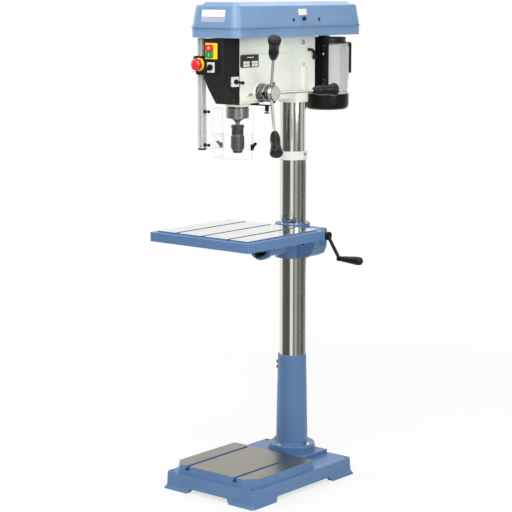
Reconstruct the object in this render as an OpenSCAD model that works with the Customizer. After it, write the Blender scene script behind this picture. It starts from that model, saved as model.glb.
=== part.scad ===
// Pillar drill: floor stand, rack and pinion table, belt driven head.
// Origin: centre of the anchor hole pattern, on the floor. +X is the machine's right, -Y its front.
// All sizes are millimetres.

/* [Column] */
// Radius of the column tube
column_r = 46; // [40:0.5:55]
// Wall of the column tube
column_wall = 6; // [4:0.5:10]
// Distance of the column axis behind the centre of the base
column_y = 180; // [165:1:195]
// Height of the column tube's top end
column_top_z = 1450; // [1420:5:1460]
// Distance from the column axis to the spindle axis
throat = 300; // [285:1:315]

/* [Base] */
// Width of the base plate at its top
base_w = 392; // [385:1:450]
// Length of the base plate at its top
base_l = 550; // [545:1:620]
// Height of the base plate's top
base_h = 61; // [55:1:70]
// How far the flared foot stands out at the floor
foot_flare = 10; // [4:0.5:16]
// Height of the flare
flare_h = 13; // [8:0.5:18]
// Height of the arches between the feet
arch_h = 16; // [10:0.5:22]
// Half width of the arch in the front and the rear
arch_front = 97; // [70:1:120]
// Half width of the arch in each side
arch_side = 160; // [120:1:190]
// Wall of the casting
base_wall = 12; // [9:0.5:16]
// Distance of an anchor hole from the edge of the top
anchor_inset = 13; // [11:0.5:20]
// Radius of an anchor hole
anchor_r = 6.5; // [5:0.25:8]
// Half width of the ground pad
pad_half_w = 182; // [170:1:185]
// Front edge of the ground pad, from the front edge of the top
pad_front = 12; // [8:1:20]
// Length of the ground pad
pad_l = 337; // [310:1:345]
// Height of the ground pad's top
pad_z = 92; // [88:1:98]
// Chamfer on the ground pad's front corners
pad_chamfer = 40; // [30:1:50]
// Draft of the ground pad's sides, at the pad's foot
pad_draft = 5; // [2:0.5:7]
// Half width of the raised platform under the column
platform_half_w = 100; // [95:1:120]
// Height of the platform
platform_z = 77; // [70:1:84]
// Distance of the platform's rear edge behind the column axis
platform_rear = 80; // [75:1:88]
// Radius of the machined ring under the stand
ring_r = 85; // [83:0.5:95]

/* [Table slots] */
// Width of a T-slot's neck
slot_neck = 14; // [10:0.5:16]
// Width of a T-slot's head
slot_head = 23; // [18:0.5:26]
// Height of a T-slot's head
slot_head_h = 8; // [6:0.5:9]
// Depth of a T-slot
slot_depth = 18; // [15:0.5:18]
// Distance of each slot in the base from the middle
base_slot_x = 108; // [90:1:120]
// Length of the slots in the base
base_slot_l = 321; // [250:1:325]
// Distance of the table's outer slots from the middle
table_slot_x = 115; // [90:1:130]

/* [Stand] */
// Radius of the stand's flange
flange_r = 82; // [78:0.5:84]
// Thickness of the stand's flange
flange_t = 13; // [10:0.5:18]
// Radius of the stand's tube above the flange
stand_foot_r = 57; // [54:0.5:62]
// Radius of the stand's tube at its top
stand_top_r = 51; // [50:0.5:54]
// Height of the stand's top
stand_top_z = 433; // [410:1:450]
// Radius of the flange's bolt circle
flange_bolt_pcd_r = 70; // [68:0.5:72]
// Radius of a flange bolt's shank
flange_bolt_r = 5; // [4:0.5:6]

/* [Rack] */
// Module of the rack and its gear
rack_m = 2; // [2:0.25:2]
// Distance from the column axis to the rack's pitch line
rack_pitch_x = 55.5; // [55:0.25:58]
// Width of the rack
rack_w = 16; // [12:0.5:18]
// Height of the rack's top end
rack_top_z = 1135; // [1125:1:1150]
// Height of the collar above the rack
rack_collar_h = 30; // [22:1:40]
// Radius of the collar above the rack
rack_collar_r = 52; // [51:0.5:56]

/* [Table] */
// Width of the table
table_w = 440; // [400:1:460]
// Length of the table
table_l = 410; // [390:1:420]
// Height of the table's ground top, in its middle position
table_z = 915; // [900:1:930]
// Depth of the ledge round the ground top
ledge_h = 5; // [3:0.5:7]
// Width of the ledge
ledge_w = 20; // [15:1:26]
// Height of the table's edge below the ledge
skirt_h = 31; // [26:0.5:36]
// Thickness of the plate and the edge walls
table_wall = 8; // [7:0.5:10]
// Radius of the tilting disc under the table
disc_r = 52; // [50:0.5:54]
// Thickness of the tilting disc
disc_t = 18; // [14:0.5:22]
// Distance of the tilting face in front of the column axis
tilt_face = 165; // [155:1:175]
// Height of the tilt axis
tilt_z = 848; // [846:1:850]
// Radius of the tilt pin
tilt_pin_r = 9; // [7:0.5:11]
// Distance of the lock bolt from the tilt axis
lock_bolt_r = 33; // [31:0.5:35]
// How far the table tilts to each side, degrees
tilt_angle = 45; // [30:5:45]

/* [Bracket] */
// Radius of the bracket's collar
collar_r = 62; // [60:0.5:70]
// Height of the collar's underside
collar_z = 787; // [780:1:800]
// Height of the collar
collar_h = 122; // [110:1:124]
// Radius of the arm
arm_r = 44; // [40:0.5:44]
// Right end of the gear housing, from the column axis
housing_x = 125; // [120:1:135]
// Half width of the gear housing
housing_half = 38; // [34:1:42]
// Underside of the gear housing
housing_z = 795; // [790:1:802]
// Height of the gear housing
housing_h = 102; // [98:1:106]
// Number of teeth on the lift gear
lift_teeth = 20; // [20:1:20]
// Width of the lift gear
lift_gear_w = 12; // [10:0.5:16]
// Pitch radius of the worm
worm_pitch_r = 10; // [9:0.5:11]
// Length of the worm's thread
worm_l = 30; // [24:1:32]
// Radius of the shafts in the bracket
bracket_shaft_r = 6; // [5:0.5:7]
// Length of the crank's arm
crank_l = 75; // [60:1:76]
// Length of the crank's grip
crank_grip_l = 86; // [70:1:95]
// Largest radius of the crank's grip
crank_grip_r = 15; // [12:0.5:15]
// Length of the clamp lever
clamp_lever_l = 75; // [60:1:90]

/* [Head] */
// Half width of the head casting
head_half = 50; // [49:0.5:54]
// Front face of the head, from the column axis
head_front = 348; // [345:1:352]
// Rear face of the head, behind the column axis
head_rear = 60; // [58:1:64]
// Underside of the head's front part
head_z = 1348; // [1345:1:1352]
// Underside of the head's rear part
head_rear_z = 1379; // [1370:1:1390]
// Underside of the boss on the column
head_boss_z = 1338; // [1330:1:1345]
// Radius of the boss on the column
head_boss_r = 53; // [51:0.5:56]
// Top of the head
head_top_z = 1569; // [1565:1:1575]
// Length of the head's front part
head_front_l = 198; // [190:1:205]
// Thickness of the raised panel on each side
panel_t = 2.5; // [1:0.5:4]
// Wall of the head casting
head_wall = 9; // [7:0.5:12]

/* [Quill and chuck] */
// Radius of the quill
quill_r = 37.5; // [37:0.25:38]
// Length of the quill above its collar
quill_l = 180; // [175:1:185]
// Stroke of the quill
stroke = 120; // [100:5:120]
// Radius of the spindle
spindle_r = 10; // [9:0.5:12]
// Radius of the quill's collar
quill_collar_r = 38.5; // [38:0.25:41]
// Height of the quill's collar
quill_collar_h = 41; // [35:1:45]
// Length of the spindle nose below the collar
nose_l = 22; // [18:1:28]
// Length of the chuck
chuck_l = 95; // [85:1:105]
// Length of the chuck's fluted sleeve
chuck_sleeve_l = 61; // [50:1:70]
// Largest radius of the chuck
chuck_r = 23; // [21:0.5:26]
// Radius of the opening between the chuck's jaws
chuck_bore_r = 4; // [3:0.25:5]
// Number of flutes on the chuck's sleeve
chuck_flutes = 12; // [8:1:16]

/* [Feed] */
// Module of the feed pinion
feed_m = 2.5; // [2.5:0.25:2.5]
// Number of teeth on the feed pinion
feed_teeth = 16; // [16:1:16]
// Height of the feed axis
feed_z = 1383; // [1381:1:1386]
// Radius of the feed hub
hub_r = 29.5; // [28:0.5:32]
// Radius of the dial ring
dial_r = 31; // [30:0.5:33]
// Width of the dial ring
dial_w = 12; // [8:0.5:14]
// Distance from the machine's middle to the face of the hub's cap
hub_face_x = 122; // [118:1:128]
// Length of a feed rod and its grip, from the hub's axis
feed_rod_l = 249; // [230:1:260]
// Radius of a feed rod
feed_rod_r = 5; // [4:0.5:6.5]
// Angle of the feed rods away from the machine
feed_cone = 26.7; // [20:0.1:30]
// Turn of the first feed rod above the rear, degrees
feed_phase = 1.7; // [0:0.1:20]
// Length of a feed grip
feed_grip_l = 92; // [80:1:110]
// Largest radius of a feed grip
feed_grip_r = 22.5; // [18:0.5:24]

/* [Belt cover] */
// Width of the belt cover
cover_w = 210; // [205:1:220]
// Front end of the cover, from the column axis
cover_front = 428; // [427:1:440]
// Rear end of the cover, behind the column axis
cover_rear = 265; // [262:1:275]
// Radius of the cover's corners
cover_corner = 30; // [24:1:36]
// Height of the cover's pan
pan_h = 34; // [28:1:40]
// Height of the lid up to its shoulder
lid_h = 73; // [68:1:80]
// How far each side of the lid leans in
lid_draft = 10; // [6:0.5:14]
// Height of the panel on the lid
lid_panel_h = 9; // [5:0.5:12]
// Wall of the pan and the lid
sheet_t = 3; // [2:0.25:4]

/* [Belt drive] */
// Distance of the idler axis in front of the column axis
idler_ahead = 60; // [50:1:70]
// Distance of the motor axis behind the column axis
motor_behind = 195; // [190:1:205]
// Height of one pulley step
step_h = 17; // [15:0.5:18]
// Height of the pulleys above the pan's floor
pulley_lift = 8; // [5:0.5:12]
// Width of a belt at its back
belt_w = 12.5; // [10:0.5:13]
// Depth of a belt
belt_t = 8; // [6:0.5:9]

/* [Motor] */
// Radius of the motor's ribbed body
motor_r = 75; // [70:0.5:80]
// Height of the motor's ribbed body
motor_h = 161; // [150:1:170]
// Underside of the motor's ribbed body
motor_z = 1376; // [1370:1:1380]
// Number of ribs round the motor
motor_ribs = 48; // [36:1:60]
// Depth of a rib
rib_h = 6; // [4:0.5:8]
// Radius of the motor shaft
motor_shaft_r = 9.5; // [8:0.5:12]
// Radius of the fan cover
fan_cover_r = 79; // [77:0.5:84]
// Height of the fan cover
fan_cover_h = 57; // [50:1:65]
// Half width of the motor plate
plate_half = 85; // [80:1:92]
// Thickness of the motor plate and of the guide plate in front of it
plate_t = 8; // [6:0.5:10]
// Half width of the guide plate
guide_half = 50; // [46:1:56]
// Gap between the head and the motor plate
plate_gap = 26; // [22:1:30]
// Radius of a slide bar
slide_bar_r = 10; // [8:0.5:11]
// Distance of a slide bar from the middle
slide_bar_x = 32; // [28:1:36]
// Height of the slide bars
slide_bar_z = 1487; // [1480:1:1495]

/* [Front cover and switches] */
// Half width of the front cover's front face
front_half = 43; // [42:0.5:46]
// Front face of the front cover, from the column axis
front_face = 426; // [422:1:427]
// Wall of the front cover
front_wall = 3; // [2.5:0.25:4]
// Stroke of the push buttons
button_stroke = 3; // [2:0.5:4]
// Radius of the emergency button
estop_r = 21; // [18:0.5:24]

/* [Guard] */
// Side of the guard's square rod
rod_side = 20; // [16:0.5:22]
// Distance of the guard's rod left of the middle
rod_x = 90; // [88:1:96]
// Distance of the guard's rod in front of the column axis
rod_ahead = 379; // [376:1:382]
// Underside of the guard's rod
rod_z = 1195; // [1180:1:1210]
// Half width of the guard's shield
shield_half = 64; // [60:1:68]
// Thickness of the shield
shield_t = 3; // [2:0.25:4]
// Underside of the upper shield
shield_z = 1195; // [1185:1:1205]
// Height of the upper shield
shield_h = 137; // [130:1:142]
// How far the lower shield reaches below the upper one
extension_drop = 32; // [25:1:45]

/* [Fits] */
// Running clearance between a shaft and its bore
fit = 0.05; // [0.02:0.01:0.1]
// Gap between two pieces that move past each other
gap = 0.3; // [0.2:0.05:0.5]

/* [Hidden] */
$fn = 64;
pressure_angle = 20;
far = 2000;

spindle_y = column_y - throat;
stand_z = platform_z + 16;
flange_top_z = stand_z + flange_t;
pad_y0 = -base_l / 2 + pad_front;
pad_y1 = pad_y0 + pad_l;
anchor_x = base_w / 2 - anchor_inset;
anchor_y = base_l / 2 - anchor_inset;

rack_pitch = PI * rack_m;
rack_tip_x = rack_pitch_x + rack_m;
lift_r = rack_m * lift_teeth / 2;
lift_x = rack_pitch_x + lift_r;
lift_z = tilt_z - 3;
worm_z = lift_z + lift_r + worm_pitch_r;
thread_tip_r = worm_pitch_r + rack_m;
bearing_x = housing_x - 28;

ledge_z = table_z - ledge_h;
skirt_z = ledge_z - skirt_h;
table_y0 = spindle_y - table_l / 2;
table_y1 = spindle_y + table_l / 2;
slot_rib_z = tilt_z + arm_r + 1;
tilt_y = column_y - tilt_face;
arm_end_y = tilt_y + gap;
crank_x = housing_x + 20;
crank_pin_x = crank_x + 58;

head_y0 = column_y - head_front;
head_y1 = column_y + head_rear;
front_part_y = head_y0 + head_front_l;
panel_x = head_half + panel_t;

quill_z = head_z - 10;
quill_top_z = quill_z + quill_l;
sleeve_r = 17;
sleeve_z = quill_top_z + 6;
nose_z = quill_z - quill_collar_h;
chuck_top_z = nose_z - nose_l;
bearing_r = 26;
bearing_h = 15;
spindle_low_r = spindle_r + 2;

feed_pitch = PI * feed_m;
feed_r = feed_m * feed_teeth / 2;
quill_pitch_r = quill_r - feed_m;
feed_y = spindle_y + quill_pitch_r + feed_r;
pinion_w = 18;
journal_r = feed_r + feed_m + 0.45;
journal_x = 21;
feed_shaft_r = 12;
feed_flange_x = panel_x + 4;
spoke_x = hub_face_x - 22;

pan_y0 = column_y - cover_front;
pan_y1 = column_y + cover_rear;
pan_l = pan_y1 - pan_y0;
pan_mid_y = (pan_y0 + pan_y1) / 2;
pan_z = head_top_z;
seam_z = pan_z + pan_h;
shoulder_z = seam_z + lid_h;
lip_w = 6;
lip_h = 2.5;
hinge_r = 5;
hinge_x = -cover_w / 2 - lip_w - hinge_r - 0.5;
hinge_z = seam_z;

idler_y = column_y - idler_ahead;
motor_y = column_y + motor_behind;
pulley_z = pan_z + sheet_t + pulley_lift;
spindle_steps = [66, 56, 46, 36];
idler_steps = [34, 45, 56, 66];
motor_steps = [58, 48, 38, 28];
front_step = 0;
rear_step = 3;
groove_depth = belt_t + 1;
idler_post_r = 8;

motor_foot_y = head_y1 + plate_gap + plate_t;
motor_top_z = motor_z + motor_h;
fan_cover_z = motor_z - 18 - fan_cover_h;
slide_travel = plate_gap - 11;
lever_pivot = [panel_x, head_y1 - 10, 1493];

front_y = column_y - front_face;
slope_y = front_y + 27;
slope_top_z = head_z + 95;
slope_mid_z = head_z + 52;
cover_low_z = head_z - 2;
cover_top_z = head_top_z - 3;
cover_low_y = head_y0 - 7;
switch_x = -12;
switch_w = 31;
stop_z = head_z + 187.7;
start_z = head_z + 165.7;
button_h = [19, 19.5];
selector = [-7, head_z + 124];
lamp_y = front_y + 55;
lamp_z = head_z + 76;
flank_lean = atan((head_half - front_half) / (head_y0 - front_y - 6));
estop_x = -76;
estop_z = head_z + 131;

rod_y = column_y - rod_ahead;
rod_bore_r = rod_side / sqrt(2) + gap;
shield_y = rod_y + 13;
shield_left_y = rod_y + 74;
shield_right_y = rod_y + 86;
screw_z = [shield_z + 12, shield_z + 125];
extension_z = shield_z - extension_drop;

// Colours of the finished machine
hood_blue = [0.47, 0.60, 0.77];
base_blue = [0.37, 0.50, 0.66];
cream = [0.89, 0.90, 0.85];
black = [0.2, 0.2, 0.18];
steel = [0.72, 0.72, 0.7];
grey = [0.79, 0.81, 0.79];
yellow = [0.98, 0.84, 0.16];
red = [0.88, 0.2, 0.2];
green = [0.2, 0.59, 0.27];
clear = [0.85, 0.92, 0.95, 0.4];

// A cylinder along X, Y or Z between two places
module rod_x(r, x0, x1) translate([x0, 0, 0]) rotate([0, 90, 0]) cylinder(r = r, h = x1 - x0);
module rod_y(r, y0, y1) translate([0, y0, 0]) rotate([-90, 0, 0]) cylinder(r = r, h = y1 - y0);
module rod_z(r, z0, z1) translate([0, 0, z0]) cylinder(r = r, h = z1 - z0);

// An outline in YZ drawn out along X, and one in XZ drawn out along Y
module along_x(x0, x1) translate([x0, 0, 0]) rotate([90, 0, 90]) linear_extrude(x1 - x0) children();
module along_y(y0, y1) translate([0, y1, 0]) rotate([90, 0, 0]) linear_extrude(y1 - y0) children();

// Outlines of [radius, place] turned round X, Y or Z
module turned_x(points) rotate([0, 90, 0]) rotate_extrude() polygon(points);
module turned_y(points) rotate([-90, 0, 0]) rotate_extrude() polygon(points);
module turned_z(points) rotate_extrude() polygon(points);

// A block between two opposite corners
module block(low, high) translate(low) cube(high - low);

// A rectangle with round corners, centred
module round_rect(w, l, r) {
    square([w - 2 * r, l], center = true);
    square([w, l - 2 * r], center = true);
    for (sx = [-1, 1], sy = [-1, 1])
        translate([sx * (w / 2 - r), sy * (l / 2 - r)]) circle(r);
}

// A hexagon head and its washer, standing on z = 0
module hex_head(shank_r) {
    rod_z(2 * shank_r, 0, shank_r * 0.35);
    translate([0, 0, shank_r * 0.35]) cylinder(r = 1.8 * shank_r, h = 1.2 * shank_r, $fn = 6);
}

// Involute gear teeth, the play taken off their thickness, the first gap at the angle turn
function involute(a) = tan(a) * 180 / PI - a;
function gear_outline(m, teeth, play, turn) = let (
    rp = m * teeth / 2,
    rb = rp * cos(pressure_angle),
    root = rp - 1.25 * m,
    half = 90 / teeth - play / rp * 90 / PI + involute(pressure_angle),
    radii = [for (k = [0:5]) rb + (rp + m - rb) * k / 5],
    sides = [for (r = radii) [r, half - involute(acos(rb / r))]]
) [for (i = [0:teeth - 1]) let (c = turn + (i + 0.5) * 360 / teeth)
    each concat(
        [[root * cos(c - half), root * sin(c - half)]],
        [for (s = sides) [s[0] * cos(c - s[1]), s[0] * sin(c - s[1])]],
        [for (k = [5:-1:0]) [sides[k][0] * cos(c + sides[k][1]), sides[k][0] * sin(c + sides[k][1])]],
        [[root * cos(c + half), root * sin(c + half)]]
    )];

// Half the thickness of a rack's tooth at a height above its pitch line
function rack_half(m, play, above) = PI * m / 4 - play / 2 - above * tan(pressure_angle);

// A T-slot along Y, open upwards, its top at z = 0
module t_slot(y0, y1) along_y(y0, y1) {
    translate([-slot_neck / 2, -slot_depth]) square([slot_neck, slot_depth + 1]);
    translate([-slot_head / 2, -slot_depth]) square([slot_head, slot_head_h]);
}

// The four corners of the anchor pattern
module at_anchors() for (sx = [-1, 1], sy = [-1, 1]) translate([sx * anchor_x, sy * anchor_y, 0]) children();

// The four bolts of the stand's flange
module at_flange_bolts() translate([0, column_y, 0])
    for (i = [0:3]) rotate(i * 90) translate([flange_bolt_pcd_r, 0, 0]) children();

// The arch between two feet, as an outline from the floor up
module arch(half) polygon([
    [-half, -1], [half, -1], [half, 0], [half - arch_h, arch_h], [-half + arch_h, arch_h], [-half, 0]
]);

// The casting's body: upright sides on a flared foot
module base_body() {
    hull() {
        linear_extrude(1) round_rect(base_w + 2 * foot_flare, base_l + 2 * foot_flare, 8, $fn = 24);
        translate([0, 0, flare_h]) linear_extrude(1) round_rect(base_w + 5, base_l + 5, 8, $fn = 24);
    }
    hull() {
        translate([0, 0, flare_h]) linear_extrude(1) round_rect(base_w + 5, base_l + 5, 8, $fn = 24);
        translate([0, 0, base_h - 1]) linear_extrude(1) round_rect(base_w, base_l, 8, $fn = 24);
    }
}

// A slice of the ground pad, its corners cut, grown by the draft
module pad_slice(z, grow) {
    x = pad_half_w + grow;
    y0 = pad_y0 - grow;
    y1 = pad_y1 + grow;
    c = pad_chamfer;
    translate([0, 0, z]) linear_extrude(0.5) polygon([
        [-x + c, y0], [x - c, y0], [x, y0 + c], [x, y1 - 8],
        [x - 8, y1], [-x + 8, y1], [-x, y1 - 8], [-x, y0 + c]
    ]);
}

// The ground pad on its drafted sides, hollowed at the front round the anchor bolts
module base_pad() difference() {
    union() {
        hull() {
            pad_slice(base_h - 1, pad_draft);
            pad_slice(pad_z - 6, 0.5);
        }
        hull() {
            pad_slice(pad_z - 6, 0.5);
            pad_slice(pad_z - 0.5, 0);
        }
    }
    for (sx = [-1, 1]) translate([sx * anchor_x, -anchor_y, 0]) rod_z(20, base_h - 2, far);
}

// The pockets under the base, with ribs between them and bosses round the anchor holes
module base_pockets() {
    columns = 3;
    rows = 4;
    rib = 10;
    x = base_w / 2 - base_wall;
    y = base_l / 2 - base_wall;
    w = (2 * x - (columns - 1) * rib) / columns;
    l = (2 * y - (rows - 1) * rib) / rows;
    difference() {
        union() {
            for (i = [0:columns - 1], j = [0:rows - 1])
                translate([-x + i * (w + rib), -y + j * (l + rib), -1]) cube([w, l, base_h - 15]);
            block([-x, -y, -1], [x, y, arch_h]);
        }
        at_anchors() rod_z(2 * anchor_r, -1, base_h);
    }
}

module base_plate() color(base_blue) difference() {
    union() {
        base_body();
        base_pad();
        block([-platform_half_w, pad_y1 - 1, base_h - 1],
            [platform_half_w, column_y + platform_rear, platform_z]);
        translate([0, column_y, 0]) rod_z(ring_r, base_h - 1, stand_z);
    }
    base_pockets();
    along_y(-far, far) arch(arch_front);
    along_x(-far, far) arch(arch_side);
    for (sx = [-1, 1]) translate([sx * base_slot_x, 0, pad_z])
        t_slot(pad_y0 - pad_draft - 1, pad_y0 + base_slot_l);
    at_anchors() rod_z(anchor_r, -1, far);
    at_flange_bolts() rod_z(flange_bolt_r + fit, stand_z - 30, stand_z + 1);
}

module column_stand() color(base_blue) difference() {
    translate([0, column_y, 0]) turned_z([
        [36, stand_z], [flange_r, stand_z], [flange_r, flange_top_z - 2], [flange_r - 2, flange_top_z],
        [stand_foot_r + 2.5, flange_top_z], [stand_foot_r + 1, flange_top_z + 3],
        [stand_foot_r, flange_top_z + 10], [stand_top_r, stand_top_z - 1.5], [stand_top_r - 1.5, stand_top_z],
        [column_r + fit, stand_top_z], [column_r + fit, flange_top_z + 12], [36, flange_top_z + 12]
    ]);
    at_flange_bolts() rod_z(flange_bolt_r + gap, stand_z - 1, flange_top_z + 1);
    for (z = [stand_top_z - 39, stand_top_z - 59])
        translate([0, column_y, z]) rod_x(4 + fit, -stand_foot_r - 1, -column_r + 1);
}

module flange_bolts() color(steel) at_flange_bolts() {
    rod_z(flange_bolt_r, stand_z - 28, flange_top_z);
    translate([0, 0, flange_top_z]) hex_head(flange_bolt_r);
}

// Locking screws of the stand, the rack's collar and the front cover
module socket_screws() color(black) {
    for (z = [stand_top_z - 39, stand_top_z - 59]) translate([0, column_y, z]) {
        rod_x(4, -stand_foot_r - 6, -column_r - gap);
        translate([-stand_foot_r - 6, 0, 0]) rotate([0, -90, 0]) cylinder(r = 6.5, h = 5, $fn = 6);
    }
    translate([0, column_y, rack_top_z + rack_collar_h - 9]) {
        rod_x(3, column_r + gap, rack_collar_r + 1);
        translate([rack_collar_r + 1, 0, 0]) rod_x(5, 0, 5);
    }
    for (sx = [-1, 1]) translate([sx * 36, cover_low_y - 4, cover_low_z + 16]) rod_y(4, -5, 5);
}

module column_tube() color(steel) translate([0, column_y, 0]) difference() {
    rod_z(column_r, flange_top_z + 12, column_top_z);
    rod_z(column_r - column_wall, flange_top_z + 11, column_top_z + 1);
}

module rack_collar() color("white") difference() {
    translate([0, column_y, rack_top_z]) turned_z([
        [column_r + fit, 0], [rack_collar_r - 1, 0], [rack_collar_r, 1],
        [rack_collar_r, rack_collar_h - 1], [rack_collar_r - 1, rack_collar_h], [column_r + fit, rack_collar_h]
    ]);
    translate([0, column_y, rack_top_z + rack_collar_h - 9]) rod_x(3 + fit, column_r - 1, far);
}

// The rack on the column's right side, its teeth centred on the lift gear's height
module rack() color(steel) {
    low = stand_top_z + gap;
    high = rack_top_z - gap;
    root_x = rack_pitch_x - 1.25 * rack_m;
    root_half = rack_half(rack_m, 0.15, -1.25 * rack_m);
    tip_half = rack_half(rack_m, 0.15, rack_m);
    first = ceil((low + root_half - lift_z) / rack_pitch);
    last = floor((high - root_half - lift_z) / rack_pitch);
    translate([0, column_y, 0]) difference() {
        along_y(-rack_w / 2, rack_w / 2) polygon(concat(
            [[column_r - 2, low], [root_x, low]],
            [for (k = [first:last]) let (z = lift_z + k * rack_pitch) each [
                [root_x, z - root_half], [rack_tip_x, z - tip_half],
                [rack_tip_x, z + tip_half], [root_x, z + root_half]
            ]],
            [[root_x, high], [column_r - 2, high]]
        ));
        rod_z(column_r + gap, low - 1, high + 1);
    }
}

// The bracket: collar round the column, arm to the table, housing of the lift gear
module table_bracket() color(base_blue) translate([0, column_y, 0]) difference() {
    union() {
        rod_z(collar_r, collar_z, collar_z + collar_h);
        translate([0, 0, tilt_z]) rod_y(arm_r, arm_end_y - column_y, -collar_r + 12);
        along_y(-housing_half, housing_half) polygon([
            [0, housing_z], [housing_x - 40, housing_z], [housing_x - 12, housing_z + 12],
            [housing_x, housing_z + 40], [housing_x, housing_z + housing_h - 4],
            [housing_x - 4, housing_z + housing_h], [0, housing_z + housing_h]
        ]);
        translate([0, 0, worm_z]) rod_x(18, 0, housing_x + 6);
        block([-collar_r - 30, -22, tilt_z - 24], [0, 22, tilt_z + 24]);
    }
    rod_z(column_r + fit, collar_z - 1, collar_z + collar_h + 1);
    block([0, -rack_w / 2 - gap, collar_z - 1], [rack_tip_x + 1, rack_w / 2 + gap, collar_z + collar_h + 1]);
    translate([lift_x, 0, lift_z]) {
        rod_y(lift_r + rack_m + 1, -lift_gear_w / 2 - gap, lift_gear_w / 2 + gap);
        rod_y(bracket_shaft_r + fit, -housing_half - 1, housing_half + 1);
    }
    translate([0, 0, worm_z]) {
        rod_x(thread_tip_r + 0.6, rack_tip_x - 2, bearing_x);
        rod_x(bracket_shaft_r + 2 + fit, bearing_x - 1, housing_x + 7);
    }
    block([-collar_r - 31, -2, collar_z - 1], [-column_r + 5, 2, collar_z + collar_h + 1]);
    translate([-collar_r - 14, 0, tilt_z]) rod_y(5 + fit, -23, 23);
    translate([0, 0, tilt_z]) rod_y(tilt_pin_r + fit, arm_end_y - column_y - 1, -column_r - 20);
    translate([0, 0, tilt_z - lock_bolt_r]) rod_y(5 + fit, arm_end_y - column_y - 1, -tilt_face + 45);
}

// The tilt pin with its nut, and the bolt that locks the tilt
module tilt_bolt() color(black) translate([0, tilt_y, tilt_z]) {
    front = -disc_t - gap;
    rod_y(tilt_pin_r, front - 12, 70);
    rod_y(16, front - 3, front);
    translate([0, front - 3, 0]) rotate([90, 0, 0]) cylinder(r = 15, h = 9, $fn = 6);
    translate([0, 0, -lock_bolt_r]) {
        rod_y(5, front - 4, 42);
        rod_y(10, front - 3, front);
        translate([0, front - 3, 0]) rotate([90, 0, 0]) cylinder(r = 10, h = 10, $fn = 6);
    }
}

// The curved slot of the tilt lock, as an outline round the tilt axis
module tilt_slot() {
    w = 6;
    reach = tilt_angle + 1;
    intersection() {
        difference() {
            circle(lock_bolt_r + w);
            circle(lock_bolt_r - w);
        }
        polygon([[0, 0], for (a = [-1, -0.5, 0, 0.5, 1]) 3 * disc_r * [sin(a * reach), -cos(a * reach)]]);
    }
    for (a = [-reach, reach]) translate(lock_bolt_r * [sin(a), -cos(a)]) circle(w);
}

module table_top() color(base_blue) difference() {
    rear_y = tilt_y - gap;
    union() {
        difference() {
            translate([0, spindle_y, skirt_z]) linear_extrude(skirt_h) round_rect(table_w, table_l, 6);
            translate([0, spindle_y, skirt_z - 1])
                linear_extrude(skirt_h - table_wall + 1)
                    round_rect(table_w - 2 * table_wall, table_l - 2 * table_wall, 4);
        }
        translate([0, spindle_y, ledge_z - 1])
            linear_extrude(ledge_h + 1) round_rect(table_w - 2 * ledge_w, table_l - 2 * ledge_w, 3);
        for (x = [-table_slot_x, 0, table_slot_x])
            block(
                [x - slot_head / 2 - 6, table_y0 + 2, slot_rib_z],
                [x + slot_head / 2 + 6, table_y1 - 2, ledge_z - 1]
            );
        for (y = [table_y0 + table_l / 4, table_y0 + table_l / 2])
            block([-table_w / 2 + 2, y - 4, skirt_z + 8], [table_w / 2 - 2, y + 4, ledge_z - 1]);
        translate([0, 0, tilt_z]) rod_y(disc_r, rear_y - disc_t, rear_y);
        block([-disc_r, rear_y - disc_t, tilt_z], [disc_r, rear_y, ledge_z - 1]);
        for (sx = [-1, 1]) along_x(sx * 38 - 5, sx * 38 + 5) polygon([
            [rear_y - disc_t + 1, tilt_z - 18], [rear_y - disc_t + 1, ledge_z - 1],
            [rear_y - disc_t - 90, ledge_z - 1]
        ]);
    }
    for (x = [-table_slot_x, 0, table_slot_x])
        translate([x, 0, table_z]) t_slot(table_y0 + ledge_w - 1, table_y1 - ledge_w + 1);
    translate([0, 0, tilt_z]) {
        rod_y(arm_r + 2, rear_y, table_y1 + 1);
        rod_y(tilt_pin_r + fit, rear_y - disc_t - 1, rear_y + 1);
        along_y(rear_y - disc_t - 1, rear_y + 1) tilt_slot();
    }
}

module lift_gear() color(steel) translate([lift_x, column_y, lift_z]) difference() {
    union() {
        along_y(-lift_gear_w / 2, lift_gear_w / 2) polygon(gear_outline(rack_m, lift_teeth, 0.25, 180));
        rod_y(bracket_shaft_r, -housing_half, housing_half + 4);
    }
}

// A right-handed thread round X, its tooth at the bottom centred on x = middle
module worm_thread(middle) {
    inner = worm_pitch_r - 1.25 * rack_m - 0.3;
    inner_half = rack_half(rack_m, 0.7, inner - worm_pitch_r);
    tip_half = rack_half(rack_m, 0.7, rack_m);
    step = 15;
    start = 270 - 360 * (worm_l / 2 - inner_half) / rack_pitch;
    count = floor(720 * (worm_l / 2 - inner_half) / rack_pitch / step);
    section = [[inner, -inner_half], [thread_tip_r, -tip_half], [thread_tip_r, tip_half], [inner, inner_half]];
    points = [for (i = [0:count], s = section) let (a = start + i * step)
        [middle + rack_pitch * (a - 270) / 360 + s[1], s[0] * cos(a), s[0] * sin(a)]];
    sides = [for (i = [0:count - 1], k = [0:3]) let (n = (k + 1) % 4) each [
        [4 * i + k, 4 * i + n, 4 * i + 4 + n], [4 * i + k, 4 * i + 4 + n, 4 * i + 4 + k]
    ]];
    last = 4 * count;
    ends = [[0, 2, 1], [0, 3, 2], [last, last + 1, last + 2], [last, last + 2, last + 3]];
    polyhedron(points, concat(sides, ends));
}

module worm_shaft() color(steel) translate([0, column_y, worm_z]) {
    worm_thread(lift_x);
    rod_x(worm_pitch_r - 1.25 * rack_m, lift_x - worm_l / 2, bearing_x - gap);
    rod_x(bracket_shaft_r + 2, bearing_x - gap - 1, housing_x + 8);
    rod_x(bracket_shaft_r, housing_x + 7, crank_x + 18);
}

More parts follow.
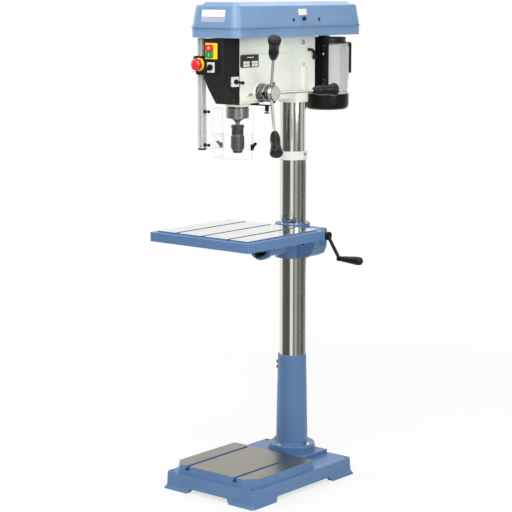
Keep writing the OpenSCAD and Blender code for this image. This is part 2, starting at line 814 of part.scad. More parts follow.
// The crank: hub, bent arm and the pin of the grip, hanging down at rest
module crank_arm() color(black) translate([0, column_y, worm_z]) difference() {
    union() {
        rod_x(15, crank_x, crank_x + 20);
        translate([crank_x + 14, 0, 0]) sphere(7);
        translate([crank_x + 14, 0, 0])
            rotate([0, 90 + atan2(crank_l, crank_pin_x + 6 - crank_x - 14), 0])
                cylinder(r = 6, h = norm([crank_l, crank_pin_x - crank_x - 8]));
        translate([0, 0, -crank_l]) {
            rod_x(9, crank_pin_x, crank_pin_x + 13);
            rod_x(4, crank_pin_x + 12, crank_pin_x + 17 + crank_grip_l);
        }
    }
    rod_x(bracket_shaft_r + fit, crank_x - 1, crank_x + 18);
}

module crank_grip() color(black) translate([crank_pin_x + 17, column_y, worm_z - crank_l]) {
    r = crank_grip_r;
    l = crank_grip_l;
    turned_x([
        [4 + fit, 0], [0.55 * r, 0], [0.68 * r, 0.05 * l], [0.72 * r, 0.15 * l], [0.8 * r, 0.35 * l],
        [0.93 * r, 0.6 * l], [r, 0.78 * l], [0.97 * r, 0.88 * l], [0.85 * r, 0.95 * l], [0.6 * r, 0.99 * l],
        [4 + fit, l]
    ]);
}

// The lever of the collar's clamp, its screw through both ears
module lock_lever() color(black) translate([-collar_r - 14, column_y, tilt_z]) {
    rod_y(5, -34, 30);
    rod_y(10, -38, -22 - gap);
    rod_y(9, 22 + gap, 30);
    l = clamp_lever_l;
    translate([0, -31, 0]) rotate([0, 20, 0]) turned_x([
        [0, -l - 10], [4, -l - 9], [7.5, -l - 6.5], [9.5, -l - 3], [10, -l], [9.5, -l + 3],
        [7.5, -l + 6.5], [5, -l + 9], [5, 0], [0, 0]
    ]);
}

// The side outline of the head casting
module head_outline() {
    rise = head_rear_z - head_z;
    polygon([
        [head_y0, head_z], [front_part_y, head_z], [front_part_y + rise, head_rear_z],
        [head_y1, head_rear_z], [head_y1, head_top_z], [head_y0, head_top_z]
    ]);
}

// The raised panel on each side of the head, its upper rear corner round
module head_panel() {
    low = head_z + 7;
    high = head_z + 163;
    rear = head_y0 + 282;
    r = 20;
    polygon([[head_y0, low], [rear, low], [rear, high - r], [rear - r, high], [head_y0, high]]);
    translate([rear - r, high - r]) circle(r);
}

// The hollow of the head, with the slide bars' bosses left standing
module head_hollow() {
    x = head_half - head_wall;
    front = feed_y + journal_r + head_wall;
    rear = column_y - head_boss_r;
    difference() {
        union() {
            block([-x, front, head_rear_z + head_wall], [x, rear, head_top_z + 1]);
            block([-x, rear - 1, column_top_z + 12], [x, head_y1 - head_wall, head_top_z + 1]);
        }
        for (sx = [-1, 1]) translate([sx * slide_bar_x, 0, slide_bar_z])
            rod_y(slide_bar_r + 6, rear + 20, head_y1);
    }
}

module head_casting() color(cream) difference() {
    union() {
        along_x(-head_half, head_half) head_outline();
        along_x(-panel_x, panel_x) head_panel();
        translate([0, column_y, 0]) rod_z(head_boss_r, head_boss_z, column_top_z + 10);
        translate([0, spindle_y, 0]) rod_z(quill_r + 5.5, quill_z, head_z + 1);
        translate([0, feed_y, feed_z]) rod_x(journal_r + 8, -panel_x - 4, feed_flange_x);
    }
    head_hollow();
    translate([0, column_y, 0]) rod_z(column_r + fit, head_boss_z - 1, column_top_z + gap);
    translate([0, spindle_y, 0]) {
        rod_z(quill_r + fit, quill_z - 1, sleeve_z);
        rod_z(sleeve_r + fit, sleeve_z - 1, head_top_z + 1);
    }
    translate([0, feed_y, feed_z]) {
        rod_x(journal_r + fit, -pinion_w / 2 - 2, far);
        rod_x(feed_shaft_r + fit, -far, 0);
    }
    for (sx = [-1, 1]) translate([sx * slide_bar_x, 0, slide_bar_z])
        rod_y(slide_bar_r + fit, column_y - head_boss_r, far);
    translate([0, lever_pivot[1], lever_pivot[2]]) rod_x(5 + fit, panel_x - head_wall - 4, far);
    translate([0, column_y - 8, 1546]) rod_x(6, head_half - 2, far);
    translate([0, column_y - 2, 1470]) rod_x(2.5, head_half - 4, far);
}

module quill() color(steel) translate([0, spindle_y, 0]) difference() {
    rod_z(quill_r, quill_z, quill_top_z);
    rod_z(bearing_r + fit, quill_z - 1, quill_z + bearing_h);
    rod_z(bearing_r + fit, quill_top_z - bearing_h, quill_top_z + 1);
    rod_z(spindle_low_r + 4, quill_z, quill_top_z);
    quill_gaps();
}

// The gaps between the teeth cut into the rear of the quill
module quill_gaps() {
    root_y = quill_pitch_r - 1.25 * feed_m;
    top_y = quill_r + 1;
    root_half = feed_pitch / 2 - rack_half(feed_m, 0.2, -1.25 * feed_m);
    top_half = feed_pitch / 2 - rack_half(feed_m, 0.2, top_y - quill_pitch_r);
    count = ceil((stroke + 6) / feed_pitch);
    along_x(-quill_r, quill_r) for (k = [-2:count - 1]) let (z = feed_z + (k + 0.5) * feed_pitch)
        polygon([
            [root_y, z - root_half], [top_y, z - top_half], [top_y, z + top_half], [root_y, z + root_half]
        ]);
}

module quill_collar() color(steel) translate([0, spindle_y, 0]) turned_z([
    [spindle_low_r + 3, nose_z], [quill_collar_r - 2, nose_z], [quill_collar_r, nose_z + 2],
    [quill_collar_r, quill_z - 6], [quill_r - 1, quill_z - 5], [quill_r - 1, quill_z - 3],
    [quill_r, quill_z - 3], [quill_r, quill_z], [spindle_low_r + 3, quill_z]
]);

module quill_bearings() color(steel) translate([0, spindle_y, 0])
    for (z = [quill_z + gap, quill_top_z - bearing_h]) difference() {
        rod_z(bearing_r, z, z + bearing_h - gap);
        rod_z(spindle_low_r + fit, z - 1, z + bearing_h);
    }

// Splines along the upper spindle, wider by the clearance where they are cut
module splines(z0, z1, clearance) for (i = [0:5]) rotate(i * 60)
    block([0, -2 - clearance, z0], [spindle_r + 1.5 + clearance, 2 + clearance, z1]);

module spindle() color(steel) translate([0, spindle_y, 0]) {
    turned_z([
        [0, chuck_top_z - 20], [7, chuck_top_z - 20], [7, chuck_top_z + 1], [8, chuck_top_z + 1],
        [8, nose_z - 13], [10, nose_z - 11], [spindle_low_r + 7.5, nose_z - 4],
        [spindle_low_r + 8.5, nose_z - 2], [spindle_low_r + 8.5, nose_z - gap],
        [spindle_low_r + 2, nose_z - gap],
        [spindle_low_r, nose_z + 4], [spindle_low_r, quill_top_z - 0.5], [0, quill_top_z - 0.5]
    ]);
    rod_z(spindle_r, quill_top_z - 1, pulley_z + 4 * step_h + 5);
    splines(quill_top_z - 0.5, pulley_z + 4 * step_h + 3, 0);
}

module chuck_body() color(steel) translate([0, spindle_y, chuck_top_z]) {
    r = chuck_r;
    top = chuck_sleeve_l - chuck_l;
    difference() {
        turned_z([
            [7 + fit, 0], [r - 3, 0], [r - 1, -2], [r - 1, -11], [r - 4, -14], [r - 4, top],
            [0.63 * r, top], [0.63 * r, -chuck_l + 6],
            [0.48 * r, -chuck_l + 6], [0.48 * r, -32], [4, -25], [4, -21], [7 + fit, -21]
        ]);
        for (i = [0:5]) rotate(i * 60) translate([r + 1, 0, 0]) rod_z(4, -10, 1);
    }
    for (i = [0:11]) rotate(i * 30) block([r - 6, -1.6, top], [r - 2.8, 1.6, -13]);
}

// The chuck's fluted sleeve
module chuck_sleeve() color(steel) translate([0, spindle_y, chuck_top_z]) {
    r = chuck_r;
    top = chuck_sleeve_l - chuck_l - gap;
    difference() {
        turned_z([
            [0.63 * r + gap, top], [r - 3, top], [r - 1.5, top - 4], [r, top - 6], [r, -chuck_l + 17],
            [r - 2, -chuck_l + 12], [r - 5.5, -chuck_l + 8], [r - 5.5, -chuck_l + 6.5], [r - 8, -chuck_l],
            [0.42 * r, -chuck_l], [0.52 * r, -chuck_l + 5.5], [0.63 * r + gap, -chuck_l + 5.5]
        ]);
        for (i = [0:chuck_flutes - 1]) rotate((i + 0.5) * 360 / chuck_flutes)
            translate([r + 1.4, 0, 0]) rod_z(3, -chuck_l + 20, top - 5);
    }
}

// Three jaws, ground hollow in the middle to the opening's radius
module chuck_jaws() color(steel) translate([0, spindle_y, chuck_top_z]) intersection() {
    difference() {
        rod_z(0.48 * chuck_r - gap, -chuck_l - 1, -36);
        rod_z(chuck_bore_r, -chuck_l - 2, -35);
        for (i = [0:2]) rotate(i * 120) block([0, -0.6, -chuck_l - 2], [chuck_r, 0.6, -35]);
    }
    turned_z([[0, -chuck_l - 1], [5, -chuck_l - 1], [chuck_r, -chuck_l + 17], [chuck_r, 0], [0, 0]]);
}

module pinion_shaft() color(steel) translate([0, feed_y, feed_z]) {
    along_x(-pinion_w / 2, pinion_w / 2) polygon(gear_outline(feed_m, feed_teeth, 0.2, 180));
    rod_x(feed_shaft_r, -panel_x - 30, -pinion_w / 2 + 1);
    rod_x(16, pinion_w / 2 - 1, journal_x + 1);
    rod_x(journal_r, journal_x, feed_flange_x - 2);
    rod_x(feed_shaft_r, feed_flange_x - 3, spoke_x - 14);
}

// Places a feed rod's children along its axis, which is +Y before the turn
module at_feed_rods() for (i = [0:2])
    translate([spoke_x, feed_y, feed_z]) rotate([feed_phase + i * 120, 0, 0])
        rotate([0, 0, -feed_cone]) children();

// The hub, with the rods' sockets, clamp studs between them and a chamfered cap
module feed_hub() color(steel) difference() {
    back = feed_flange_x + gap;
    r = hub_r;
    union() {
        translate([0, feed_y, feed_z]) turned_x([
            [0, back + 1.5], [r - 7, back + 1.5], [r - 7, back + dial_w + 2], [r, back + dial_w + 2],
            [r, spoke_x - 12], [r - 1.5, spoke_x - 11], [r - 1.5, spoke_x - 9], [r, spoke_x - 8],
            [r, spoke_x + 10], [0.82 * r, hub_face_x - 4], [0.82 * r, hub_face_x - 1], [0.79 * r, hub_face_x],
            [0, hub_face_x]
        ]);
        for (i = [0:2]) translate([spoke_x - 2, feed_y, feed_z])
            rotate([feed_phase + 60 + i * 120, 0, 0]) {
                rod_y(4, 10, r + 4);
                rod_y(5.5, r + 2, r + 9);
            }
    }
    translate([0, feed_y, feed_z]) rod_x(feed_shaft_r + fit, back, spoke_x - 13);
    at_feed_rods() rod_y(feed_rod_r + fit, 12, far);
}

module feed_rods() color(steel) at_feed_rods() rod_y(feed_rod_r, 12 + gap, feed_rod_l - 25);

module feed_grips() color(black) at_feed_rods() {
    r = feed_grip_r;
    l = feed_grip_l;
    translate([0, feed_rod_l - l, 0]) difference() {
        turned_y([
            [0, 0], [0.36 * r, 0], [0.5 * r, 0.02 * l], [0.6 * r, 0.08 * l], [0.7 * r, 0.17 * l],
            [0.77 * r, 0.27 * l], [0.78 * r, 0.34 * l], [0.74 * r, 0.45 * l], [0.74 * r, 0.54 * l],
            [0.8 * r, 0.67 * l], [0.9 * r, 0.77 * l], [0.98 * r, 0.84 * l], [r, 0.89 * l],
            [0.96 * r, 0.94 * l], [0.84 * r, 0.975 * l], [0.5 * r, l], [0, l]
        ]);
        rod_y(feed_rod_r + fit, -1, l - 25 + gap);
    }
}

module depth_dial() color(steel) translate([0, feed_y, feed_z]) difference() {
    back = feed_flange_x + gap;
    union() {
        turned_x([
            [hub_r - 7 + fit, back], [dial_r - 1, back], [dial_r, back + 1],
            [dial_r, back + dial_w - 1], [dial_r - 1, back + dial_w], [hub_r - 7 + fit, back + dial_w]
        ]);
    }
    rod_x(feed_shaft_r, 0, far);
}

// The housing of the quill's return spring, on the left side of the head
module spring_housing() color(black) translate([0, feed_y, feed_z]) {
    side = -panel_x - 4;
    difference() {
        turned_x([
            [0, side - 38], [24, side - 38], [30, side - 35], [33, side - 30], [33, side - 4],
            [30, side], [0, side]
        ]);
        rod_x(feed_shaft_r + gap, side - 28, side + 1);
    }
    translate([side - 38, 0, 0]) rotate([0, -90, 0]) cylinder(r = 10, h = 6, $fn = 6);
}

// The flat bar under the head with the depth stop's plunger
module stop_bracket() color(black) {
    y = feed_y - 2;
    x = 85;
    block([9, y - 8, head_z - 8.5], [97, y + 8, head_z - 5]);
    block([9, y - 8, head_z - 6], [head_half - 6, y + 8, head_z]);
    translate([x, y, 0]) {
        rod_z(7, head_z - 26, head_z - 5);
        rod_z(3, head_z - 34, head_z - 25);
        rod_z(10, head_z - 34, head_z - 31);
    }
}

// A pulley's stack of V-grooved steps, turned round Z, its first step lowest
module step_pulley(steps) rotate_extrude() difference() {
    for (i = [0:3]) translate([0, i * step_h]) square([steps[i], step_h]);
    for (i = [0:3]) translate([steps[i], (i + 0.5) * step_h]) groove_section(groove_depth, gap + fit);
}

// The outline of a V-belt's section, its back at x = 0, grown by a clearance
module groove_section(depth, clearance) {
    half = belt_w / 2 + clearance;
    bottom = half - (depth + 0.1) * tan(pressure_angle);
    polygon([[0.1, -half], [0.1, half], [-depth, bottom], [-depth, -bottom]]);
}

module belt_section() polygon([
    [0, -belt_w / 2], [0, belt_w / 2], [-belt_t, belt_w / 2 - belt_t * tan(pressure_angle)],
    [-belt_t, -belt_w / 2 + belt_t * tan(pressure_angle)]
]);

// A belt round two steps, their radii given, on one line along Y
module belt(y0, r0, y1, r1) {
    lean = asin((r0 - r1) / (y1 - y0));
    run = sqrt(pow(y1 - y0, 2) - pow(r0 - r1, 2));
    translate([0, y0, 0]) rotate(180 - lean) rotate_extrude(angle = 180 + 2 * lean)
        translate([r0, 0]) belt_section();
    translate([0, y1, 0]) rotate(lean) rotate_extrude(angle = 180 - 2 * lean) translate([r1, 0]) belt_section();
    for (m = [0, 1]) mirror([m, 0, 0]) translate([0, y0, 0]) rotate(lean) translate([r0, 0, 0])
        along_y(-0.05, run + 0.05) belt_section();
}

module spindle_pulley() color(grey) translate([0, spindle_y, 0]) difference() {
    union() {
        rod_z(sleeve_r, sleeve_z + gap, pulley_z + 1);
        rod_z(sleeve_r + 6, pan_z + sheet_t + 1, pulley_z + 1);
        translate([0, 0, pulley_z]) step_pulley(spindle_steps);
    }
    rod_z(spindle_r + fit, sleeve_z - 1, far);
    splines(sleeve_z - 1, far, 0.3);
}

module idler_post() color(steel) translate([0, idler_y, pan_z + sheet_t]) {
    rod_z(18, 0, 4);
    rod_z(idler_post_r, 3, pulley_lift + 4 * step_h + 5);
}

module idler_pulley() color(grey) translate([0, idler_y, pulley_z]) difference() {
    step_pulley(idler_steps);
    rod_z(idler_post_r + fit, -1, far);
}

module motor_pulley() color(grey) translate([0, motor_y, pulley_z]) difference() {
    step_pulley(motor_steps);
    rod_z(motor_shaft_r + fit, -1, far);
}

module front_belt() color(black) translate([0, 0, pulley_z + (front_step + 0.5) * step_h])
    belt(spindle_y, spindle_steps[front_step], idler_y, idler_steps[front_step]);

module rear_belt() color(black) translate([0, 0, pulley_z + (rear_step + 0.5) * step_h])
    belt(idler_y, idler_steps[rear_step], motor_y, motor_steps[rear_step]);

// The motor's shaft with its fan at the lower end
module motor_shaft() color(steel) translate([0, motor_y, 0]) {
    z = fan_cover_z + 14;
    rod_z(motor_shaft_r, z, pulley_z + 4 * step_h + 4);
    rod_z(24, z, z + 22);
    for (i = [0:7]) rotate(i * 45) block([20, -1.5, z], [62, 1.5, z + 22]);
    rod_z(62, z + 20, z + 23);
}

module motor_body() color(grey) translate([0, motor_y, 0]) difference() {
    union() {
        translate([0, 0, motor_z]) linear_extrude(motor_h) {
            circle(motor_r - rib_h);
            for (i = [0:motor_ribs - 1]) rotate(i * 360 / motor_ribs)
                translate([motor_r - rib_h - 2, -1.2]) square([rib_h + 2, 2.4]);
        }
        for (sx = [-1, 1])
            block([sx * 60 - 10, motor_foot_y - motor_y, motor_z + 4], [sx * 60 + 10, -20, motor_top_z - 4]);
        block([-40, 20, motor_z + 30], [40, motor_r + 2, motor_z + motor_h - 12]);
    }
    rod_z(motor_shaft_r + 1, motor_z - 1, motor_top_z + 1);
}

// The motor's end shields: a stepped flange above, a vented ring below
module motor_shields() color(black) translate([0, motor_y, 0]) difference() {
    union() {
        turned_z([
            [motor_shaft_r + fit, motor_top_z], [motor_r - 3, motor_top_z], [motor_r - 3, motor_top_z + 4],
            [motor_r - 8, motor_top_z + 6], [motor_r - 8, motor_top_z + 20], [motor_r - 12, motor_top_z + 22],
            [motor_shaft_r + fit, motor_top_z + 22]
        ]);
        turned_z([
            [motor_shaft_r + fit, motor_z - 22], [fan_cover_r - 3 - gap, motor_z - 22],
            [fan_cover_r - 3 - gap, motor_z - 18], [motor_r - 1, motor_z - 18],
            [motor_r - 1, motor_z], [motor_shaft_r + fit, motor_z]
        ]);
    }
    for (i = [0:29]) rotate(i * 12) block([motor_r - 12, -3, motor_z - 15], [motor_r, 3, motor_z - 4]);
}

// The fan cover, round at the bottom, with a ring of air holes
module fan_cover() color(black) translate([0, motor_y, fan_cover_z]) difference() {
    r = fan_cover_r;
    h = fan_cover_h;
    turned_z([
        [0, 0], [r - 22, 0], [r - 12, 1.5], [r - 5, 6], [r - 1.5, 12], [r, 20], [r, h - 1], [r - 1, h],
        [r - 3, h], [r - 3, 20], [r - 5, 14], [r - 13, 5], [r - 22, 3], [0, 3]
    ]);
    for (n = [1:4]) for (i = [0:6 * n - 1]) rotate(i * 60 / n) translate([n * 12, 0, 0]) rod_z(3.5, -1, 4);
}

module terminal_box() color(black) {
    y = motor_y + motor_r + 2;
    z = motor_z + 52;
    h = 111;
    difference() {
        translate([0, 0, z]) along_y(y, y + 16) translate([0, h / 2]) round_rect(80, h, 5);
        for (sx = [-1, 1], dz = [8, h - 8]) translate([sx * 32, 0, z + dz]) rod_y(2.5, y + 13, y + 17);
    }
    translate([0, 0, z + 3]) along_y(y + 15, y + 18) translate([0, h / 2 - 3]) round_rect(74, h - 6, 4);
    translate([0, y + 8, z - 12]) rod_z(7, 0, 13);
}

// The motor's plate on its two slide bars
module motor_bracket() color(black) {
    y = motor_foot_y - plate_t;
    low = motor_z;
    high = motor_z + 165;
    difference() {
        union() {
            along_y(y, y + plate_t) translate([0, (low + high) / 2]) round_rect(2 * plate_half, high - low, 6);
            along_y(y - plate_t, y) translate([0, (low + high) / 2]) round_rect(2 * guide_half, high - low, 3);
            block([guide_half - 6, y, high - 8], [guide_half + 24, y + plate_t, pan_z - gap]);
        }
        for (sx = [-1, 1], z = [high - 38, low + 54]) translate([sx * (plate_half - 17), 0, z])
            along_y(y - 1, y + plate_t + 1) round_rect(6, 14, 2.9);
    }
    for (sx = [-1, 1]) translate([sx * slide_bar_x, 0, slide_bar_z])
        rod_y(slide_bar_r, column_y - head_boss_r + slide_travel + 6, y + 1);
    for (sx = [-1, 1], z = [low + 30, high - 15]) translate([sx * (plate_half - 17), y, z])
        rotate([90, 0, 0]) cylinder(r = 7, h = 5, $fn = 6);
}

// The outline of a flat bar of width w along the points of a path
module bar(path, w) {
    n = len(path) - 1;
    aside = [for (i = [0:n]) let (d = path[min(i + 1, n)] - path[max(i - 1, 0)]) [-d[1], d[0]] * w / 2 / norm(d)];
    polygon([for (i = [0:n]) path[i] + aside[i], for (i = [n:-1:0]) path[i] - aside[i]]);
}

// The lever on the head's side that moves the motor, a bent bar with a knob
module tension_lever() color(black) translate(lever_pivot) {
    bends = [[0, 0], [-5, 14], [-12, 24], [-20, 27.5], [-32, 27.5]];
    rod_x(5, slide_bar_x + slide_bar_r + gap - panel_x, 10);
    rod_x(8, gap, 10);
    along_x(3, 9) bar(bends, 7);
    translate([6, bends[4][0], bends[4][1]]) turned_y([
        [0, -6], [3.5, -5.5], [5, -3.5], [5.5, 0], [4.8, 3.5], [3, 5.5], [0, 6]
    ]);
}

// The pan under the belts, its rim turned out, with the hinge's pins on the left
module cover_pan() color(hood_blue) difference() {
    union() {
        difference() {
            union() {
                translate([0, pan_mid_y, pan_z]) linear_extrude(pan_h) round_rect(cover_w, pan_l, cover_corner);
                translate([0, pan_mid_y, seam_z - lip_h]) linear_extrude(lip_h)
                    round_rect(cover_w + 2 * lip_w, pan_l + 2 * lip_w, cover_corner + lip_w);
            }
            translate([0, pan_mid_y, pan_z + sheet_t]) linear_extrude(pan_h)
                round_rect(cover_w - 2 * sheet_t, pan_l - 2 * sheet_t, cover_corner - sheet_t);
        }
        for (y = [-60, 140]) translate([0, y, 0]) {
            translate([hinge_x, 0, hinge_z]) {
                rod_y(hinge_r, -20, 0);
                rod_y(2.5, -1, 20);
            }
            block([hinge_x - 1, -20, seam_z - lip_h - 2.5], [-cover_w / 2 + 1, 0, seam_z - lip_h]);
            block([hinge_x - 1, -20, seam_z - lip_h - 2.5], [hinge_x + 1, 0, seam_z]);
        }
    }
    translate([0, spindle_y, 0]) rod_z(sleeve_r + 8, pan_z - 1, pan_z + sheet_t + 1);
    for (dy = [0, -slide_travel]) translate([0, motor_y + dy, 0]) rod_z(20, pan_z - 1, pan_z + sheet_t + 1);
    block([-20, motor_y - slide_travel, pan_z - 1], [20, motor_y, pan_z + sheet_t + 1]);
}

// A slice of the lid: a rounded rectangle drawn in from the rim by an inset
module lid_slice(z, inset) translate([0, pan_mid_y, z]) linear_extrude(0.5)
    round_rect(cover_w - 2 * inset, pan_l - 2 * inset, max(cover_corner - inset / 2, 6), $fn = 24);

module cover_lid() color(hood_blue) {
    low = seam_z + gap;
    panel_inset = lid_draft + 16;
    difference() {
        union() {
            hull() {
                lid_slice(low, 0);
                lid_slice(shoulder_z - 7, lid_draft);
                lid_slice(shoulder_z - 2.5, lid_draft + 2);
                lid_slice(shoulder_z - 0.5, lid_draft + 5);
            }
            hull() {
                lid_slice(shoulder_z - 1, panel_inset);
                lid_slice(shoulder_z + lid_panel_h - 0.5, panel_inset + 11);
            }
        }
        hull() {
            lid_slice(low - 1, sheet_t);
            lid_slice(shoulder_z - 8, lid_draft + sheet_t);
            lid_slice(shoulder_z - 0.5 - sheet_t, lid_draft + 5 + sheet_t);
        }
        for (y = [55, 196]) translate([0, y, seam_z + 22]) rod_x(3, cover_w / 2 - 20, far);
        translate([0, 106, seam_z + 26]) rod_x(2.5, cover_w / 2 - 20, far);
    }
    for (y = [-60, 140]) translate([hinge_x, y, hinge_z]) difference() {
        union() {
            rod_y(hinge_r, gap, 20);
            block([-1, gap, 2], [lip_w + hinge_r + 2, 20, 4.5]);
        }
        rod_y(2.5 + fit, -1, 21);
    }
}

module lid_knob() color(black) translate([0, 106, seam_z + 26]) {
    x = cover_w / 2 - lid_draft * 0.35;
    rod_x(2.5 - fit, x - 9, x + 2);
    turned_x([
        [0, x + 1], [4, x + 1], [5, x + 3], [7, x + 5], [7.5, x + 8], [6, x + 11], [3, x + 12], [0, x + 12]
    ]);
}

// The front cover's outlines: from the side, and from above, drawn in by its wall
module front_side(wall) polygon([
    [head_y0 + wall, cover_top_z - wall], [front_y + wall, cover_top_z - wall], [front_y + wall, slope_top_z],
    [slope_y + wall, slope_mid_z], [cover_low_y + wall, cover_low_z + wall],
    [head_y0 + wall, cover_low_z + wall]
]);
module front_plan(wall) polygon([
    [-head_half + wall, head_y0 + wall], [-front_half + wall, front_y + 6 + wall],
    [-front_half + 6 + wall, front_y + wall], [front_half - 6 - wall, front_y + wall],
    [front_half - wall, front_y + 6 + wall], [head_half - wall, head_y0 + wall]
]);

// A flank's distance from the middle at a place along Y
function flank_x(y) = front_half + (y - front_y - 6) * tan(flank_lean);

// The place of the lamp's switch on the right flank, its +X square to the flank
module at_lamp() translate([flank_x(lamp_y), lamp_y, lamp_z]) rotate([0, 0, -flank_lean]) children();

module front_cover() color(black) difference() {
    intersection() {
        along_x(-head_half, head_half) front_side(0);
        translate([0, 0, cover_low_z - 1]) linear_extrude(cover_top_z - cover_low_z + 2) front_plan(0);
    }
    intersection() {
        along_x(-head_half, head_half) front_side(front_wall);
        translate([0, 0, cover_low_z]) linear_extrude(cover_top_z - cover_low_z) front_plan(front_wall);
    }
    for (z = [stop_z, start_z], w = [switch_w + 2 * gap])
        translate([switch_x, front_y - 1, z]) block([-w / 2, 0, -10.2], [w / 2, front_wall + 2, 10.2]);
    translate([selector[0], 0, selector[1]]) rod_y(3 + fit, front_y - 1, front_y + 10);
    for (n = [0:4]) translate([0, front_y + 3 + 4 * n, slope_top_z - 9 - 7 * n])
        along_x(-front_half + 9, front_half - 9) rotate(-58) square([3, 1.6], center = true);
    for (sx = [-1, 1]) translate([sx * 36, 0, cover_low_z + 16])
        rod_y(4 + fit, cover_low_y - 30, cover_low_y + 9);
    at_lamp() rod_x(4 + fit, -12, far);
}

// The yellow plate under the start and stop buttons
module switch_plate() color(yellow) difference() {
    translate([-5.2, 0, (stop_z + start_z) / 2 + 1])
        along_y(front_y - 1.5, front_y) round_rect(52.5, 53, 3);
    for (z = [stop_z, start_z], w = [switch_w + 2 * gap])
        translate([switch_x, front_y - 3, z]) block([-w / 2, 0, -10.2], [w / 2, 5, 10.2]);
}

// The grey frames of the selector and of the lamp's switch
module switch_frames() color(grey) {
    translate([selector[0], 0, selector[1]]) difference() {
        along_y(front_y - 3, front_y) round_rect(31, 34, 3);
        rod_y(3 + fit, front_y - 4, front_y + 1);
    }
    at_lamp() difference() {
        along_x(0, 5) round_rect(33, 33, 3);
        rod_x(4 + fit, -1, 6);
    }
}

module push_button(z, h) translate([switch_x, front_y, z])
    along_y(-4 - button_stroke, front_wall + 2) round_rect(switch_w, h, 2.5);
module start_button() color(green) push_button(start_z, button_h[0]);
module stop_button() color(red) push_button(stop_z, button_h[1]);

module selector_knob() color(black) translate([selector[0], 0, selector[1]]) {
    rod_y(3, front_y - 4, front_y + front_wall + 3);
    rod_y(10, front_y - 9, front_y - 3 - gap);
    rotate([0, 40, 0]) block([-3, front_y - 17, -11], [3, front_y - 8, 11]);
}

module lamp_lever() color(black) at_lamp() translate([5, 0, 0]) {
    rod_x(4, -10, 3);
    rod_x(8, gap, 6);
    rotate([-8, 0, 0]) block([3, -8, -3.5], [9, 26, 3.5]);
    rotate([-8, 0, 0]) translate([6, 28, 0]) sphere(6);
}

// The box of the emergency button, which also carries the guard's rod
module estop_box() color(black) difference() {
    y0 = rod_y - 28;
    y1 = rod_y + 22;
    side = -rod_x - 14;
    low = estop_z - 34;
    high = estop_z + 28;
    union() {
        intersection() {
            translate([0, 0, low]) linear_extrude(high - low)
                polygon([[-flank_x(y0), y0], [-flank_x(y1), y1], [side, y1], [side, y0]]);
            along_y(y0 - 1, y1 + 1) polygon([
                [0, low], [0, high], [side + 5.5, high], [side, high - 7.5], [side, low + 28], [side + 15, low]
            ]);
        }
        translate([-rod_x, rod_y, 0]) rod_z(rod_bore_r + 3, low, high);
    }
    translate([-rod_x, rod_y, 0]) rod_z(rod_bore_r, 0, far);
    translate([estop_x, 0, estop_z]) rod_y(8 + fit, y0 - 1, y0 + 12);
}

module estop_ring() color(yellow) translate([estop_x, rod_y - 28, estop_z]) difference() {
    rotate([180, 0, 0]) turned_y([
        [8 + gap, 0], [estop_r + 1, 0], [estop_r + 1, 2], [estop_r - 2, 5], [8 + gap, 5]
    ]);
    rod_y(8 + gap, -7, 1);
}

module estop_button() color(red) translate([estop_x, rod_y - 28, estop_z]) rotate([180, 0, 0]) turned_y([
    [0, -6], [8, -6], [8, 11], [estop_r - 3, 11], [estop_r, 14], [estop_r, 18], [estop_r - 1.5, 22],
    [estop_r - 6, 25.5], [estop_r - 12, 27], [0, 27.5]
]);

// The guard's rod: square aluminium profile with a slot in each side and a cap below
module guard_rod() color(grey) translate([-rod_x, rod_y, 0]) {
    translate([0, 0, rod_z]) linear_extrude(cover_top_z - rod_z) difference() {
        square(rod_side, center = true);
        for (i = [0:3]) rotate(i * 90) translate([rod_side / 2 - 6, -2.6]) square([7, 5.2]);
    }
    translate([0, 0, rod_z - 5]) linear_extrude(5) round_rect(rod_side + 2, rod_side + 2, 2);
}

// A shield's outline from above: front panel, two round corners, walls to the rear
module shield_plan(half, t, front, left, right) difference() {
    union() {
        translate([0, front + 20]) round_rect(2 * half, 40, 15);
        polygon([
            [-half, front + 15], [half, front + 15], [half, right], [0, right], [0, left], [-half, left]
        ]);
    }
    translate([0, front + t + 20]) round_rect(2 * (half - t), 40, 15 - t);
    polygon([[-half + t, front + 15], [half - t, front + 15], [half - t, right + 1], [-half + t, right + 1]]);
}

module guard_shield() color(clear) difference() {
    union() {
        translate([0, 0, shield_z]) linear_extrude(shield_h)
            shield_plan(shield_half, shield_t, shield_y, shield_left_y, shield_right_y);
        block([-shield_half, rod_y - 10, shield_z],
            [-shield_half + shield_t, shield_y + 16, shield_z + shield_h]);
    }
    for (z = screw_z) translate([0, rod_y, z]) rod_x(3 + fit, -shield_half - 1, -shield_half + shield_t + 1);
}

// The lower shield, which slides up and down inside the upper one
module guard_extension() color(clear) translate([0, 0, extension_z]) linear_extrude(extension_drop + 50)
    shield_plan(
        shield_half - shield_t - gap, shield_t, shield_y + shield_t + gap, shield_left_y, shield_right_y
    );

// Thumb screws that hold the shield to its rod
module guard_fittings() color(black) for (z = screw_z) translate([0, rod_y, z]) {
    rod_x(3, -rod_x + rod_side / 2, -shield_half + shield_t + 2);
    rod_x(8, -rod_x + rod_side / 2, -rod_x + rod_side / 2 + 4);
    rod_x(6, -rod_x + rod_side / 2 + 3, -shield_half - 0.5);
    rod_x(7, -shield_half + shield_t, -shield_half + shield_t + 4);
}

